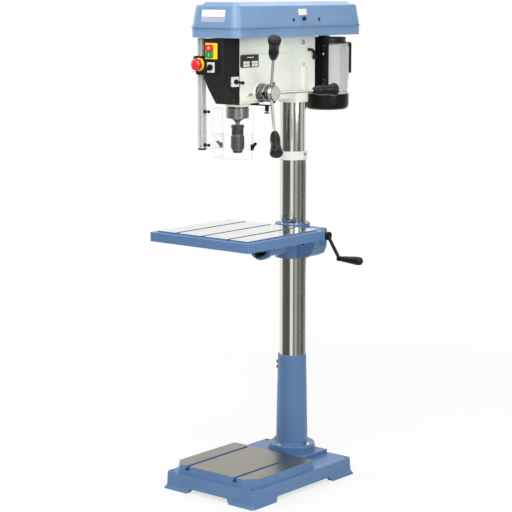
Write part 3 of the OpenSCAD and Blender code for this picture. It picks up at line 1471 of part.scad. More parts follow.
base_plate();
column_stand();
flange_bolts();
socket_screws();
column_tube();
rack_collar();
head_casting();
front_cover();
switch_plate();
switch_frames();
estop_box();
estop_ring();
spring_housing();
stop_bracket();
cover_pan();
idler_post();
cover_lid();
lid_knob();
start_button();
stop_button();
selector_knob();
estop_button();
lamp_lever();
guard_rod();
guard_shield();
guard_extension();
guard_fittings();
quill();
quill_collar();
quill_bearings();
spindle();
chuck_body();
chuck_jaws();
chuck_sleeve();
pinion_shaft();
feed_hub();
feed_rods();
feed_grips();
depth_dial();
spindle_pulley();
idler_pulley();
motor_shaft();
motor_pulley();
front_belt();
rear_belt();
motor_body();
motor_shields();
fan_cover();
terminal_box();
motor_bracket();
tension_lever();
rack();
table_bracket();
tilt_bolt();
table_top();
lock_lever();
lift_gear();
worm_shaft();
crank_arm();
crank_grip();
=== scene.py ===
"""Looks of the pillar drill: camera, studio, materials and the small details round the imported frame.

Metres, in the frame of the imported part: +X is the machine's right, -Y its front, +Z up.
"""
import math

import bmesh
import bpy
from mathutils import Matrix, Vector


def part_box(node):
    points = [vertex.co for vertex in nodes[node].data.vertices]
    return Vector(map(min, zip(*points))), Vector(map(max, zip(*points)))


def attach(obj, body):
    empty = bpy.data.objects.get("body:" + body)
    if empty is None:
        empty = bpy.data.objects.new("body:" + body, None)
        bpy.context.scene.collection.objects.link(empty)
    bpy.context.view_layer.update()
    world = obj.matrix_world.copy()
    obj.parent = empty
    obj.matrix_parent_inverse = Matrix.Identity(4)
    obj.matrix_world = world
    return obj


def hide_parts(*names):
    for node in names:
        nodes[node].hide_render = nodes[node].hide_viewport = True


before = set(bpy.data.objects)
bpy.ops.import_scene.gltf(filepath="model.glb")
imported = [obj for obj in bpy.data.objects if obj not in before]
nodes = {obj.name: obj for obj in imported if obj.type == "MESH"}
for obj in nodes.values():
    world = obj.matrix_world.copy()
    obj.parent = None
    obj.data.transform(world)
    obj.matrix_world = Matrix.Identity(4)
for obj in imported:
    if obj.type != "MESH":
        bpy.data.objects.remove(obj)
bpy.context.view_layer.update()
scene = bpy.context.scene

MM = 0.001


# Places that the details need, all read from the frame

def low(node, axis):
    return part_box(node)[0]["xyz".index(axis)]


def high(node, axis):
    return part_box(node)[1]["xyz".index(axis)]


def middle(node):
    a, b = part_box(node)
    return (a + b) / 2


# Camera: the photograph's viewing angle, found from the base, the table and the belt cover

CAMERA_AZIMUTH = math.radians(39.85)
CAMERA_TILT = math.radians(9.2)
CAMERA_LENS_MM = 116.23
CAMERA_PLACE = (3.6322, -4.3746, 1.7307)


def make_camera():
    data = bpy.data.cameras.new("camera")
    data.lens = CAMERA_LENS_MM
    data.clip_end = 200
    camera = bpy.data.objects.new("camera", data)
    camera.location = CAMERA_PLACE
    camera.rotation_euler = (math.pi / 2 - CAMERA_TILT, 0, CAMERA_AZIMUTH)
    scene.collection.objects.link(camera)
    scene.camera = camera
    scene.view_settings.view_transform = "Standard"


# Studio: white backdrop, soft lamps, and dark screens that only polished metal shows

BACKDROP = (1, 1, 1, 1)
WORLD_LEVEL = 0.45
# Grey level of what polished metal reflects, by the direction's turn from the front, in degrees
SCREENS = [
    (-180, 1.0), (-70, 1.0), (-61, 0.5), (-52, 0.12), (8, 0.1), (14, 0.17), (21, 0.75), (26, 1.0), (40, 1.0),
    (45, 0.3), (55, 0.18), (63, 0.45), (76, 0.44), (85, 0.22), (103, 0.12), (113, 0.5), (126, 0.7),
    (139, 0.3), (152, 0.24), (166, 1.0),
]
# The blue of the screens as a share of their grey
SCREEN_BLUE = 0.97
# Upward parts of a direction, from 0 level to 1 straight up, where the screens begin and end to give way
# to the white ceiling
CEILING_BEGINS, CEILING_FULL = 0.25, 0.6


def make_world():
    world = bpy.data.worlds.new("studio")
    scene.world = world
    world.use_nodes = True
    tree = world.node_tree
    tree.nodes.clear()

    def add(kind, **settings):
        node = tree.nodes.new(kind)
        for key, value in settings.items():
            setattr(node, key, value)
        return node

    link = tree.links.new
    split = add("ShaderNodeSeparateXYZ")
    link(add("ShaderNodeTexCoord").outputs["Generated"], split.inputs[0])
    backwards = add("ShaderNodeMath", operation="MULTIPLY")
    backwards.inputs[1].default_value = -1
    link(split.outputs["Y"], backwards.inputs[0])
    turn = add("ShaderNodeMath", operation="ARCTAN2")
    link(split.outputs["X"], turn.inputs[0])
    link(backwards.outputs[0], turn.inputs[1])
    share = add("ShaderNodeMapRange")
    share.inputs["From Min"].default_value = -math.pi
    share.inputs["From Max"].default_value = math.pi
    link(turn.outputs[0], share.inputs["Value"])
    ramp = add("ShaderNodeValToRGB")
    stops = ramp.color_ramp.elements
    for stop in (stops[0], stops[-1]):
        stop.color = (SCREENS[0][1],) * 3 + (1,)
    for turned, grey in SCREENS[1:]:
        stops.new((turned + 180) / 360).color = (grey, grey, grey * SCREEN_BLUE, 1)
    link(share.outputs["Result"], ramp.inputs[0])
    ceiling = add("ShaderNodeMapRange")
    ceiling.inputs["From Min"].default_value = CEILING_BEGINS
    ceiling.inputs["From Max"].default_value = CEILING_FULL
    link(split.outputs["Z"], ceiling.inputs["Value"])
    reflected = add("ShaderNodeMix", data_type="RGBA")
    link(ceiling.outputs["Result"], reflected.inputs[0])
    link(ramp.outputs["Color"], reflected.inputs[6])
    reflected.inputs[7].default_value = BACKDROP

    def background(level, colour=BACKDROP):
        node = add("ShaderNodeBackground")
        node.inputs["Color"].default_value = colour
        node.inputs["Strength"].default_value = level
        return node

    rays = add("ShaderNodeLightPath")
    mirrored = background(1)
    link(reflected.outputs[2], mirrored.inputs["Color"])
    shown = background(WORLD_LEVEL).outputs[0]
    for ray, node in (
        ("Is Glossy Ray", mirrored),
        ("Is Transmission Ray", background(1)),
        ("Is Camera Ray", background(1)),
    ):
        mix = add("ShaderNodeMixShader")
        link(rays.outputs[ray], mix.inputs[0])
        link(shown, mix.inputs[1])
        link(node.outputs[0], mix.inputs[2])
        shown = mix.outputs[0]
    link(shown, add("ShaderNodeOutputWorld").inputs["Surface"])


# The point that every lamp is turned to
AIM = Vector((0, 0.05, 0.95))
# Name, turn from the front and height in degrees, distance, width, height, watts
LAMPS = [
    ("key_lamp", 24, 34, 2.9, 1.3, 2.0, 46),
    ("side_lamp", 78, 22, 2.8, 1.2, 2.0, 26),
    ("left_lamp", -75, 28, 3.4, 1.4, 2.0, 32),
    ("rear_lamp", 205, 42, 3.4, 2.0, 1.4, 28),
    ("top_lamp", 0, 88, 2.9, 2.2, 2.2, 26),
]


def make_lamps():
    for name, turn, rise, distance, width, height, watts in LAMPS:
        data = bpy.data.lights.new(name, "AREA")
        data.shape = "RECTANGLE"
        data.size, data.size_y, data.energy = width, height, watts
        lamp = bpy.data.objects.new(name, data)
        a, e = math.radians(turn), math.radians(rise)
        away = Vector((math.sin(a) * math.cos(e), -math.cos(a) * math.cos(e), math.sin(e)))
        lamp.location = AIM + away * distance
        lamp.rotation_euler = (-away).to_track_quat("-Z", "Y").to_euler()
        scene.collection.objects.link(lamp)


# The floor is a square this many metres either side, just under the feet
FLOOR_HALF = 40
FLOOR_Z = -0.3 * MM
FLOOR_COLOUR = (0.86, 0.86, 0.86, 1)
# The floor glows white for the camera, more so away from the object, where the lamps don't reach
FLOOR_GLOW_NEAR, FLOOR_GLOW_FAR = 0.72, 1.0
GLOW_NEAR_R, GLOW_FAR_R = 0.9, 3.2
# Polished metal sees the floor only this near the object, and the studio beyond it
FLOOR_MIRRORED_R = 0.75


def make_floor():
    mesh = bpy.data.meshes.new("floor")
    corners = [(-1, -1), (1, -1), (1, 1), (-1, 1)]
    mesh.from_pydata([(x * FLOOR_HALF, y * FLOOR_HALF, FLOOR_Z) for x, y in corners], [], [(0, 1, 2, 3)])
    floor = bpy.data.objects.new("floor", mesh)
    scene.collection.objects.link(floor)
    look = bpy.data.materials.new("floor_white")
    look.use_nodes = True
    tree = look.node_tree
    tree.nodes.clear()

    def add(kind, inputs=None, **settings):
        node = tree.nodes.new(kind)
        for key, value in settings.items():
            setattr(node, key, value)
        for key, value in (inputs or {}).items():
            if isinstance(value, bpy.types.NodeSocket):
                tree.links.new(value, node.inputs[key])
            else:
                node.inputs[key].default_value = value
        return node

    rays = add("ShaderNodeLightPath").outputs
    place = add("ShaderNodeTexCoord").outputs["Object"]
    away = add("ShaderNodeVectorMath", {0: place}, operation="LENGTH").outputs["Value"]
    glow = add("ShaderNodeMapRange", {
        "Value": away, "From Min": GLOW_NEAR_R, "From Max": GLOW_FAR_R,
        "To Min": FLOOR_GLOW_NEAR, "To Max": FLOOR_GLOW_FAR}).outputs["Result"]
    glow = add("ShaderNodeMath", {0: glow, 1: rays["Is Camera Ray"]}, operation="MULTIPLY").outputs[0]
    matt = add("ShaderNodeBsdfDiffuse", {"Color": FLOOR_COLOUR}).outputs[0]
    lit = add("ShaderNodeMixShader", {0: glow, 1: matt, 2: add("ShaderNodeEmission").outputs[0]}).outputs[0]
    beyond = add("ShaderNodeMath", {0: away, 1: FLOOR_MIRRORED_R}, operation="GREATER_THAN").outputs[0]
    beyond = add("ShaderNodeMath", {0: beyond, 1: rays["Is Glossy Ray"]}, operation="MULTIPLY").outputs[0]
    below = add("ShaderNodeNewGeometry").outputs["Backfacing"]
    unseen = add("ShaderNodeMath", {0: beyond, 1: below}, operation="MAXIMUM").outputs[0]
    clear_floor = add("ShaderNodeBsdfTransparent").outputs[0]
    sides = add("ShaderNodeMixShader", {0: unseen, 1: lit, 2: clear_floor}).outputs[0]
    add("ShaderNodeOutputMaterial", {"Surface": sides})
    mesh.materials.append(look)


# Materials

def colour(r, g, b):
    """A colour as the photograph shows it, 0 to 255, made linear."""
    def linear(c):
        c /= 255
        return c / 12.92 if c <= 0.04045 else ((c + 0.055) / 1.055) ** 2.4
    return (linear(r), linear(g), linear(b), 1)


def shaded(c, share):
    return tuple(min(1, x * share) for x in c[:3]) + (1,)


# How far the rounded normal agrees with the flat one where an edge starts, and where it is full
EDGE_STARTS, EDGE_FULL = 0.995, 0.85
# How far up a face has to look to count as a ground top
FACES_UP = 0.9


class Look:
    """A material that is built up from nodes."""

    def __init__(self, name, **values):
        self.material = bpy.data.materials.new(name)
        self.material.use_nodes = True
        self.tree = self.material.node_tree
        self.shader = self.tree.nodes["Principled BSDF"]
        for key, value in values.items():
            self.shader.inputs[key.replace("_", " ")].default_value = value
        self.coordinates = self.add("ShaderNodeTexCoord")
        self.normal = None

    def add(self, kind, inputs=None, **settings):
        node = self.tree.nodes.new(kind)
        for key, value in settings.items():
            setattr(node, key, value)
        for key, value in (inputs or {}).items():
            if isinstance(value, bpy.types.NodeSocket):
                self.tree.links.new(value, node.inputs[key])
            else:
                node.inputs[key].default_value = value
        return node

    def noise(self, scale, detail=3, stretch=(1, 1, 1)):
        place = self.add("ShaderNodeMapping", {
            "Vector": self.coordinates.outputs["Object"], "Scale": stretch})
        return self.add("ShaderNodeTexNoise", {
            "Vector": place.outputs[0], "Scale": scale, "Detail": detail}).outputs[0]

    def span(self, value, start, end, to_start=0.0, to_end=1.0):
        return self.add("ShaderNodeMapRange", {
            "Value": value, "From Min": start, "From Max": end, "To Min": to_start, "To Max": to_end
        }).outputs["Result"]

    def times(self, a, b):
        return self.add("ShaderNodeMath", {0: a, 1: b}, operation="MULTIPLY").outputs[0]

    def mix(self, share, a, b):
        return self.add("ShaderNodeMix", {0: share, 6: a, 7: b}, data_type="RGBA").outputs[2]

    def rounded(self, radius):
        """Rounds the edges for the light, and gives how near an edge a point is."""
        bevel = self.add("ShaderNodeBevel", {"Radius": radius}, samples=6)
        flat = self.add("ShaderNodeNewGeometry").outputs["Normal"]
        same = self.add("ShaderNodeVectorMath", {0: bevel.outputs[0], 1: flat}, operation="DOT_PRODUCT")
        self.normal = bevel.outputs[0]
        return self.span(same.outputs["Value"], EDGE_STARTS, EDGE_FULL)

    def bump(self, height, depth, strength=1.0):
        """Adds relief of a real depth, in metres."""
        inputs = {"Height": height, "Distance": depth, "Strength": strength}
        if self.normal is not None:
            inputs["Normal"] = self.normal
        self.normal = self.add("ShaderNodeBump", inputs).outputs[0]

    def done(self, base=None, roughness=None, **others):
        inputs = {"Base Color": base, "Roughness": roughness, "Normal": self.normal, **others}
        for key, value in inputs.items():
            if value is not None:
                self.tree.links.new(value, self.shader.inputs[key])
        return self.material

    def above(self, z):
        """1 on faces that look up and lie above a height, in the frame at rest."""
        place = self.add("ShaderNodeSeparateXYZ", {0: self.coordinates.outputs["Object"]}).outputs["Z"]
        up = self.add("ShaderNodeSeparateXYZ", {0: self.coordinates.outputs["Normal"]}).outputs["Z"]
        return self.times(
            self.add("ShaderNodeMath", {0: place, 1: z}, operation="GREATER_THAN").outputs[0],
            self.add("ShaderNodeMath", {0: up, 1: FACES_UP}, operation="GREATER_THAN").outputs[0])


def painted_tone(look, c, wear, edge):
    """Paint with faint clouds in its colour, and worn lighter along the edges."""
    tone = look.mix(look.span(look.noise(7, 4), 0.35, 0.65), shaded(c, 0.96), shaded(c, 1.04))
    worn = look.times(edge, look.span(look.noise(140, 4), 0.42, 0.7, 0.0, wear))
    return look.mix(worn, tone, shaded(c, 1.5))


def paint(name, c, roughness=0.36, grain=0.05, scale=700, wear=0.5, edge_radius=1.2, gloss=0.5):
    look = Look(name, IOR=1.5, Specular_IOR_Level=gloss)
    base = painted_tone(look, c, wear, look.rounded(edge_radius * MM))
    look.bump(look.noise(scale, 2), grain * MM)
    return look.done(base, look.span(look.noise(30, 3), 0.3, 0.7, roughness - 0.04, roughness + 0.06))


def ground_paint(name, c, ground, ground_z, lines, roughness):
    """Painted casting whose raised pad is ground bright, with the marks of the grinding along one way."""
    look = Look(name, IOR=1.5)
    edge = look.rounded(1.2 * MM)
    pad = look.above(ground_z)
    streaks = look.noise(22, 5, lines)
    bare = look.mix(look.span(streaks, 0.3, 0.7), shaded(ground, 0.9), shaded(ground, 1.07))
    stains = look.span(look.noise(11, 6), 0.56, 0.72, 0.0, 0.35)
    bare = look.mix(stains, bare, shaded(ground, 0.66))
    base = look.mix(pad, painted_tone(look, c, 0.5, edge), bare)
    rough = look.add("ShaderNodeMix", {
        0: pad, 2: look.span(look.noise(30, 3), 0.3, 0.7, 0.34, 0.46),
        3: look.span(streaks, 0.3, 0.7, roughness, roughness + 0.08)}).outputs[0]
    look.bump(look.noise(420, 3), 0.12 * MM, 0.6)
    return look.done(base, rough, Metallic=pad)


def metal(name, c, roughness, lines=(1, 1, 1), scale=60, depth=0.01, spread=0.06, stain=0.12,
          marks_and_sheen_contrast=0.05):
    """Bare metal with the fine marks of its turning or grinding; at a high contrast the marks become painted
    bright and dark streaks that stand in for reflections.
    """
    look = Look(name, Metallic=1.0)
    look.rounded(0.5 * MM)
    marks = look.noise(scale, 4, lines)
    base = look.mix(look.span(marks, 0.3, 0.7), shaded(c, 1 - marks_and_sheen_contrast), shaded(c, 1 + marks_and_sheen_contrast))
    base = look.mix(look.span(look.noise(13, 5), 0.5, 0.75, 0.0, stain), base, shaded(c, 0.6))
    look.bump(marks, depth * MM, 0.5)
    return look.done(base, look.span(marks, 0.25, 0.75, roughness, roughness + spread))


def plastic(name, c, roughness, grain=0.03, scale=1600, edge_radius=0.7, coat=0.0, gloss=0.5):
    look = Look(name, IOR=1.46, Coat_Weight=coat, Coat_Roughness=0.12, Specular_IOR_Level=gloss)
    edge = look.rounded(edge_radius * MM)
    base = look.mix(look.span(look.noise(12, 3), 0.35, 0.65), shaded(c, 0.94), shaded(c, 1.06))
    # The edges are painted lighter, a painted highlight along them.
    base = look.mix(look.times(edge, 0.35), base, shaded(c, 1.35))
    look.bump(look.noise(scale, 2), grain * MM, 0.7)
    return look.done(base, look.span(look.noise(45, 3), 0.3, 0.7, roughness - 0.03, roughness + 0.05))


def two_tone(look, z, below, over):
    """One colour below a height in the frame at rest, and another above it."""
    place = look.add("ShaderNodeSeparateXYZ", {0: look.coordinates.outputs["Object"]}).outputs["Z"]
    high_up = look.add("ShaderNodeMath", {0: place, 1: z}, operation="GREATER_THAN").outputs[0]
    return look.mix(high_up, below, over)


def anodised(name, c, cap, cap_z):
    """Drawn aluminium with a dull oxide layer, and a moulded cap below a height."""
    look = Look(name, Metallic=0.3)
    look.rounded(0.6 * MM)
    marks = look.noise(60, 4, ALONG_Z)
    drawn = look.mix(look.span(marks, 0.3, 0.7), shaded(c, 0.9), shaded(c, 1.05))
    look.bump(marks, 0.006 * MM, 0.5)
    return look.done(two_tone(look, cap_z, cap, drawn), look.span(marks, 0.25, 0.75, 0.34, 0.44))


def studded(name, c, stud):
    """Turned steel, bright on its face and darkened round its rim with painted shade by the way each face
    turns, with black plugs that stand out of it.
    """
    look = Look(name)
    look.rounded(0.5 * MM)
    marks = look.noise(70, 4, ROUND_X)
    base = look.mix(look.span(marks, 0.3, 0.7), shaded(c, 0.88), shaded(c, 1.05))
    base = look.mix(look.span(look.noise(13, 5), 0.5, 0.75, 0.0, 0.3), base, shaded(c, 0.5))
    facing = look.add("ShaderNodeSeparateXYZ", {0: look.coordinates.outputs["Normal"]}).outputs["X"]
    # Painted shade: faces that turn away from +X, round the rim, are mixed towards black.
    base = look.mix(look.span(facing, 0.4, 0.9), look.mix(0.7, base, BLACK), base)
    axis = middle("pinion_shaft")
    away = look.add("ShaderNodeVectorMath", {0: look.coordinates.outputs["Object"], 1: (0, axis.y, axis.z)},
                    operation="SUBTRACT").outputs[0]
    away = look.add("ShaderNodeVectorMath", {0: away, 1: (0, 1, 1)}, operation="MULTIPLY").outputs[0]
    away = look.add("ShaderNodeVectorMath", {0: away}, operation="LENGTH").outputs["Value"]
    outside = look.add("ShaderNodeMath", {0: away, 1: HUB_RIM_R}, operation="GREATER_THAN").outputs[0]
    look.bump(marks, 0.012 * MM, 0.5)
    return look.done(look.mix(outside, base, stud), look.span(marks, 0.25, 0.75, 0.17, 0.25),
                     Metallic=look.span(facing, 0.4, 0.9, 0.9, 0.35))


def screw_heads(name, blackened, plated, plated_z):
    """Blackened screws low on the machine, and plated ones above a height, with a painted highlight along
    their edges.
    """
    look = Look(name, Metallic=0.7)
    edge = look.rounded(0.4 * MM)
    base = two_tone(look, plated_z, blackened, plated)
    # The edges are painted lighter, a painted highlight along them.
    base = look.mix(look.times(edge, 0.4), base, shaded(plated, 1.1))
    look.bump(look.noise(500, 2), 0.01 * MM)
    return look.done(base, look.span(look.noise(80, 3), 0.3, 0.7, 0.3, 0.42))


def vented(name, black, pale, band_z):
    """The motor's end shields: black castings, the lower one with a pale vent band under the body."""
    look = Look(name, IOR=1.5)
    edge = look.rounded(0.8 * MM)
    base = two_tone(look, band_z, painted_tone(look, pale, 0.2, edge), painted_tone(look, black, 0.2, edge))
    look.bump(look.noise(600, 2), 0.04 * MM)
    return look.done(base, look.span(look.noise(30, 3), 0.3, 0.7, 0.36, 0.46))


def rubber(name, c):
    look = Look(name, IOR=1.45)
    look.rounded(0.5 * MM)
    threads = look.noise(90, 3, (1, 1, 14))
    base = look.mix(look.span(threads, 0.35, 0.65), shaded(c, 0.8), shaded(c, 1.3))
    look.bump(threads, 0.1 * MM)
    return look.done(base, look.span(look.noise(60, 3), 0.3, 0.7, 0.6, 0.75))


def clear(name):
    """Polycarbonate sheet: nearly unseen, greyer along its cut edges and at a glancing look."""
    look = Look(name, Roughness=0.04, IOR=1.45)
    edge = look.rounded(2.6 * MM)
    facing = look.add("ShaderNodeLayerWeight", {"Blend": 0.22}).outputs["Facing"]
    scratches = look.span(look.noise(40, 4, (1, 1, 0.2)), 0.5, 0.8, 0.0, 0.03)
    glancing = look.span(facing, 0.3, 1.0, 0.02, 0.36)
    alpha = look.add("ShaderNodeMath", {0: glancing, 1: scratches}, operation="ADD").outputs[0]
    alpha = look.add("ShaderNodeMath", {0: alpha, 1: look.times(edge, 0.5)}, operation="ADD",
                     use_clamp=True)
    base = look.mix(edge, colour(240, 243, 243), colour(150, 158, 158))
    return look.done(base, Alpha=alpha.outputs[0])


HOOD_BLUE = colour(117, 148, 185)
BASE_BLUE = colour(86, 120, 163)
CREAM = colour(235, 239, 226)
BLACK = colour(18, 18, 17)
PLATED = colour(176, 176, 172)
GROUND_TABLE = colour(227, 227, 222)
GROUND_BASE = colour(138, 133, 126)

# Places in the frame at rest where one node carries two finishes
BASE_PAD_Z = 91.5 * MM
PLATED_SCREWS_Z = 1100 * MM
ROD_CAP_Z = 1195.2 * MM
VENT_BAND_Z = 1376.4 * MM
HUB_RIM_R = 32.5 * MM

# The ways that marks run on a surface: stretches of the noise that draws them
ROUND_Z = (1, 1, 30)
ALONG_Z = (30, 30, 1)
ALONG_Y = (30, 1, 30)
ROUND_X = (30, 1, 1)


def make_materials():
    return {
        "hood": paint("hood_paint", HOOD_BLUE, 0.34, 0.03, 900),
        "base": ground_paint("base_paint", BASE_BLUE, GROUND_BASE, BASE_PAD_Z, ALONG_Y, 0.3),
        "table": ground_paint("table_paint", BASE_BLUE, GROUND_TABLE, high("table_top", "z") - 0.5 * MM,
                              ALONG_Y, 0.1),
        "blue": paint("casting_paint", BASE_BLUE, 0.38, 0.12, 420),
        "cream": paint("cream_paint", CREAM, 0.36, 0.07, 520, edge_radius=3),
        "white": paint("white_paint", colour(228, 228, 224), 0.34, 0.03),
        "black_paint": paint("black_paint", BLACK, 0.36, 0.04, 800, wear=0.3, gloss=0.2),
        "black_plastic": plastic("black_plastic", colour(29, 29, 28), 0.46, gloss=0.2),
        "grip": plastic("grip_plastic", colour(24, 24, 24), 0.3, 0.015, coat=0.12, gloss=0.2),
        "screws": screw_heads("screw_heads", BLACK, PLATED, PLATED_SCREWS_Z),
        "shields": vented("shield_paint", BLACK, colour(198, 200, 198), VENT_BAND_Z),
        # The chuck's high contrast paints bright and dark streaks along its length, standing in for
        # reflections.
        "chuck": metal("chuck_steel", colour(37, 37, 36), 0.2, ALONG_Z, 9, 0.03, marks_and_sheen_contrast=0.8),
        "rod": metal("rod_steel", colour(186, 186, 182), 0.2, (1, 1, 1), 90, 0.006),
        "grey_plastic": plastic("grey_plastic", colour(220, 222, 221), 0.4),
        "yellow": plastic("yellow_plastic", colour(250, 216, 44), 0.4),
        "red": plastic("red_plastic", colour(228, 46, 46), 0.26, 0.01, coat=0.4),
        "green": plastic("green_plastic", colour(46, 146, 66), 0.3, 0.01, coat=0.3),
        "column": metal("column_steel", colour(226, 225, 219), 0.07, ROUND_Z, 55, 0.004, 0.05, 0.05),
        "steel": metal("bright_steel", colour(214, 213, 208), 0.16, (1, 1, 1), 90, 0.006),
        "turned": metal("turned_steel", colour(214, 214, 210), 0.17, ROUND_X, 70, 0.012, stain=0.2),
        "hub": studded("hub_steel", colour(214, 214, 210), BLACK),
        "quill": metal("quill_steel", colour(134, 132, 127), 0.27, ROUND_Z, 60, 0.008),
        "dark_steel": metal("dark_steel", colour(112, 112, 109), 0.22, ROUND_Z, 60, 0.012),
        "cast_grey": metal("machined_iron", colour(158, 157, 151), 0.28, ROUND_Z, 60, 0.02, 0.1, 0.3),
        "motor": paint("motor_paint", colour(204, 207, 204), 0.4, 0.04),
        "aluminium": anodised("aluminium", colour(222, 223, 220), BLACK, ROD_CAP_Z),
        "rubber": rubber("belt_rubber", colour(26, 26, 26)),
        "clear": clear("clear_sheet"),
        "label_black": plastic("label_black", colour(46, 46, 46), 0.42, 0.004),
        "label_white": plastic("label_white", colour(238, 236, 226), 0.4, 0.004),
        "label_lilac": plastic("label_lilac", colour(172, 178, 196), 0.4, 0.004),
    }


NODE_LOOKS = {
    "hood": ["cover_pan", "cover_lid"],
    "base": ["base_plate"], "table": ["table_top"], "blue": ["column_stand", "table_bracket"],
    "cream": ["head_casting"], "white": ["rack_collar"],
    "black_paint": ["spring_housing", "stop_bracket", "motor_bracket", "fan_cover", "tilt_bolt", "crank_arm"],
    "screws": ["socket_screws"], "shields": ["motor_shields"],
    "black_plastic": ["front_cover", "estop_box", "selector_knob", "lamp_lever", "guard_fittings", "lid_knob",
                      "terminal_box"],
    "grip": ["feed_grips", "crank_grip", "tension_lever", "lock_lever"],
    "grey_plastic": ["switch_frames"], "yellow": ["switch_plate", "estop_ring"],
    "red": ["stop_button", "estop_button"], "green": ["start_button"],
    "column": ["column_tube"], "steel": ["flange_bolts", "rack"], "rod": ["feed_rods"],
    "hub": ["feed_hub"], "turned": ["depth_dial"],
    "quill": ["quill", "quill_collar", "quill_bearings", "spindle", "pinion_shaft"],
    "chuck": ["chuck_body", "chuck_sleeve", "chuck_jaws"], "dark_steel": ["worm_shaft", "lift_gear"],
    "cast_grey": ["spindle_pulley", "idler_pulley", "motor_pulley", "motor_shaft", "idler_post"],
    "motor": ["motor_body"], "aluminium": ["guard_rod"], "rubber": ["front_belt", "rear_belt"],
    "clear": ["guard_shield", "guard_extension"],
}


def dress_nodes(looks):
    for look, names in NODE_LOOKS.items():
        for name in names:
            slots = nodes[name].material_slots
            for s in slots:
                s.material = looks[look]
            if not slots:
                nodes[name].data.materials.append(looks[look])


# Meshes of the small pieces

def placed(origin, up, across=(0, 0, 1)):
    """The place of a piece whose own +Z is up, and whose +Y is close to across."""
    z = Vector(up).normalized()
    x = Vector(across).cross(z).normalized()
    y = z.cross(x)
    return Matrix.Translation(origin) @ Matrix((x, y, z)).transposed().to_4x4()


def add_piece(name, shape, look, body, smooth=35):
    """Makes a piece from a bmesh that is already in place, and lets it ride on a body."""
    bmesh.ops.recalc_face_normals(shape, faces=shape.faces)
    mesh = bpy.data.meshes.new(name)
    shape.to_mesh(mesh)
    shape.free()
    for face in mesh.polygons:
        face.use_smooth = True
    mesh.set_sharp_from_angle(angle=math.radians(smooth))
    mesh.materials.append(look)
    piece = bpy.data.objects.new(name, mesh)
    scene.collection.objects.link(piece)
    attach(piece, body)
    return piece


def turned(shape, outline, place, segments=40):
    """Adds a solid of revolution: outline is (radius, height) from the axis below to the axis above."""
    rings = []
    for radius, z in outline:
        count = segments if radius > 0 else 1
        rings.append([
            shape.verts.new(place @ Vector((
                radius * math.cos(2 * math.pi * i / count), radius * math.sin(2 * math.pi * i / count), z)))
            for i in range(count)])
    for a, b in zip(rings, rings[1:]):
        for i in range(segments):
            j = (i + 1) % segments
            corners = [a[i % len(a)], a[j % len(a)], b[j % len(b)], b[i % len(b)]]
            shape.faces.new(list(dict.fromkeys(corners)))


def ring(shape, inner, outer, height, place, segments=40):
    """Adds a flat ring with square edges."""
    loops = [(inner, 0), (outer, 0), (outer, height), (inner, height)]
    rings = [[
        shape.verts.new(place @ Vector((
            r * math.cos(2 * math.pi * i / segments), r * math.sin(2 * math.pi * i / segments), z)))
        for i in range(segments)] for r, z in loops]
    for k in range(4):
        a, b = rings[k], rings[(k + 1) % 4]
        for i in range(segments):
            j = (i + 1) % segments
            shape.faces.new([a[i], a[j], b[j], b[i]])


def slab(shape, width, height, thick, place, corner=0.0, bevel=0.0):
    """Adds a plate standing on the place's XY plane, its corners and its upper edge rounded."""
    corner = max(corner, 0.01 * MM)
    levels = [(0, 0), (0, thick - bevel), (bevel, thick)] if bevel else [(0, 0), (0, thick)]
    rings = []
    corner_step = 22.5
    for inset, z in levels:
        points = []
        for cx, cy, start in ((1, 1, 0), (-1, 1, 90), (-1, -1, 180), (1, -1, 270)):
            for step in range(5):
                a = math.radians(start + corner_step * step)
                points.append(shape.verts.new(place @ Vector((
                    cx * (width / 2 - corner) + (corner - inset) * math.cos(a) if corner > inset
                    else cx * (width / 2 - max(corner, inset)),
                    cy * (height / 2 - corner) + (corner - inset) * math.sin(a) if corner > inset
                    else cy * (height / 2 - max(corner, inset)), z))))
        rings.append(points)
    shape.faces.new(list(reversed(rings[0])))
    shape.faces.new(rings[-1])
    for a, b in zip(rings, rings[1:]):
        for i in range(len(a)):
            j = (i + 1) % len(a)
            shape.faces.new([a[i], a[j], b[j], b[i]])


def screw(shape, radius, height, place):
    """Adds a pan head with a round recess."""
    turned(shape, [
        (0, -0.5 * MM), (radius, -0.5 * MM), (radius, 0.35 * height), (0.86 * radius, 0.75 * height),
        (0.5 * radius, height), (0.42 * radius, height), (0.3 * radius, 0.35 * height), (0, 0.3 * height)
    ], place, 24)


# Details of the belt cover

# The lid's walls lean in by the draft over its height, from the seam with the pan up
LID_DRAFT = 10 * MM
LID_DRAFT_H = 66 * MM
LID_SEAM_UP = 5.2 * MM
LID_PLATE_W = 102 * MM
# The front plate's two fields: name, height above the floor and own height in mm, look
LID_PLATE_FIELDS = [
    ("lid_plate_upper", 1649.5, 23, "label_white"),
    ("lid_plate_lower", 1629, 17, "label_lilac"),
]
LID_SIDE_PLATE_Y, LID_SIDE_PLATE_Z = 108 * MM, 1651 * MM
LID_SIDE_PLATE_SIZE = (46 * MM, 21 * MM, 0.6 * MM)
GROMMETS_UP, GROMMETS_OVER_SEAM = 27 * MM, 22 * MM
GROMMET_YS = (55, 196)
# How deep a thin plate is let into the surface that carries it
LET_IN = Matrix.Translation((0, 0, -0.2 * MM))


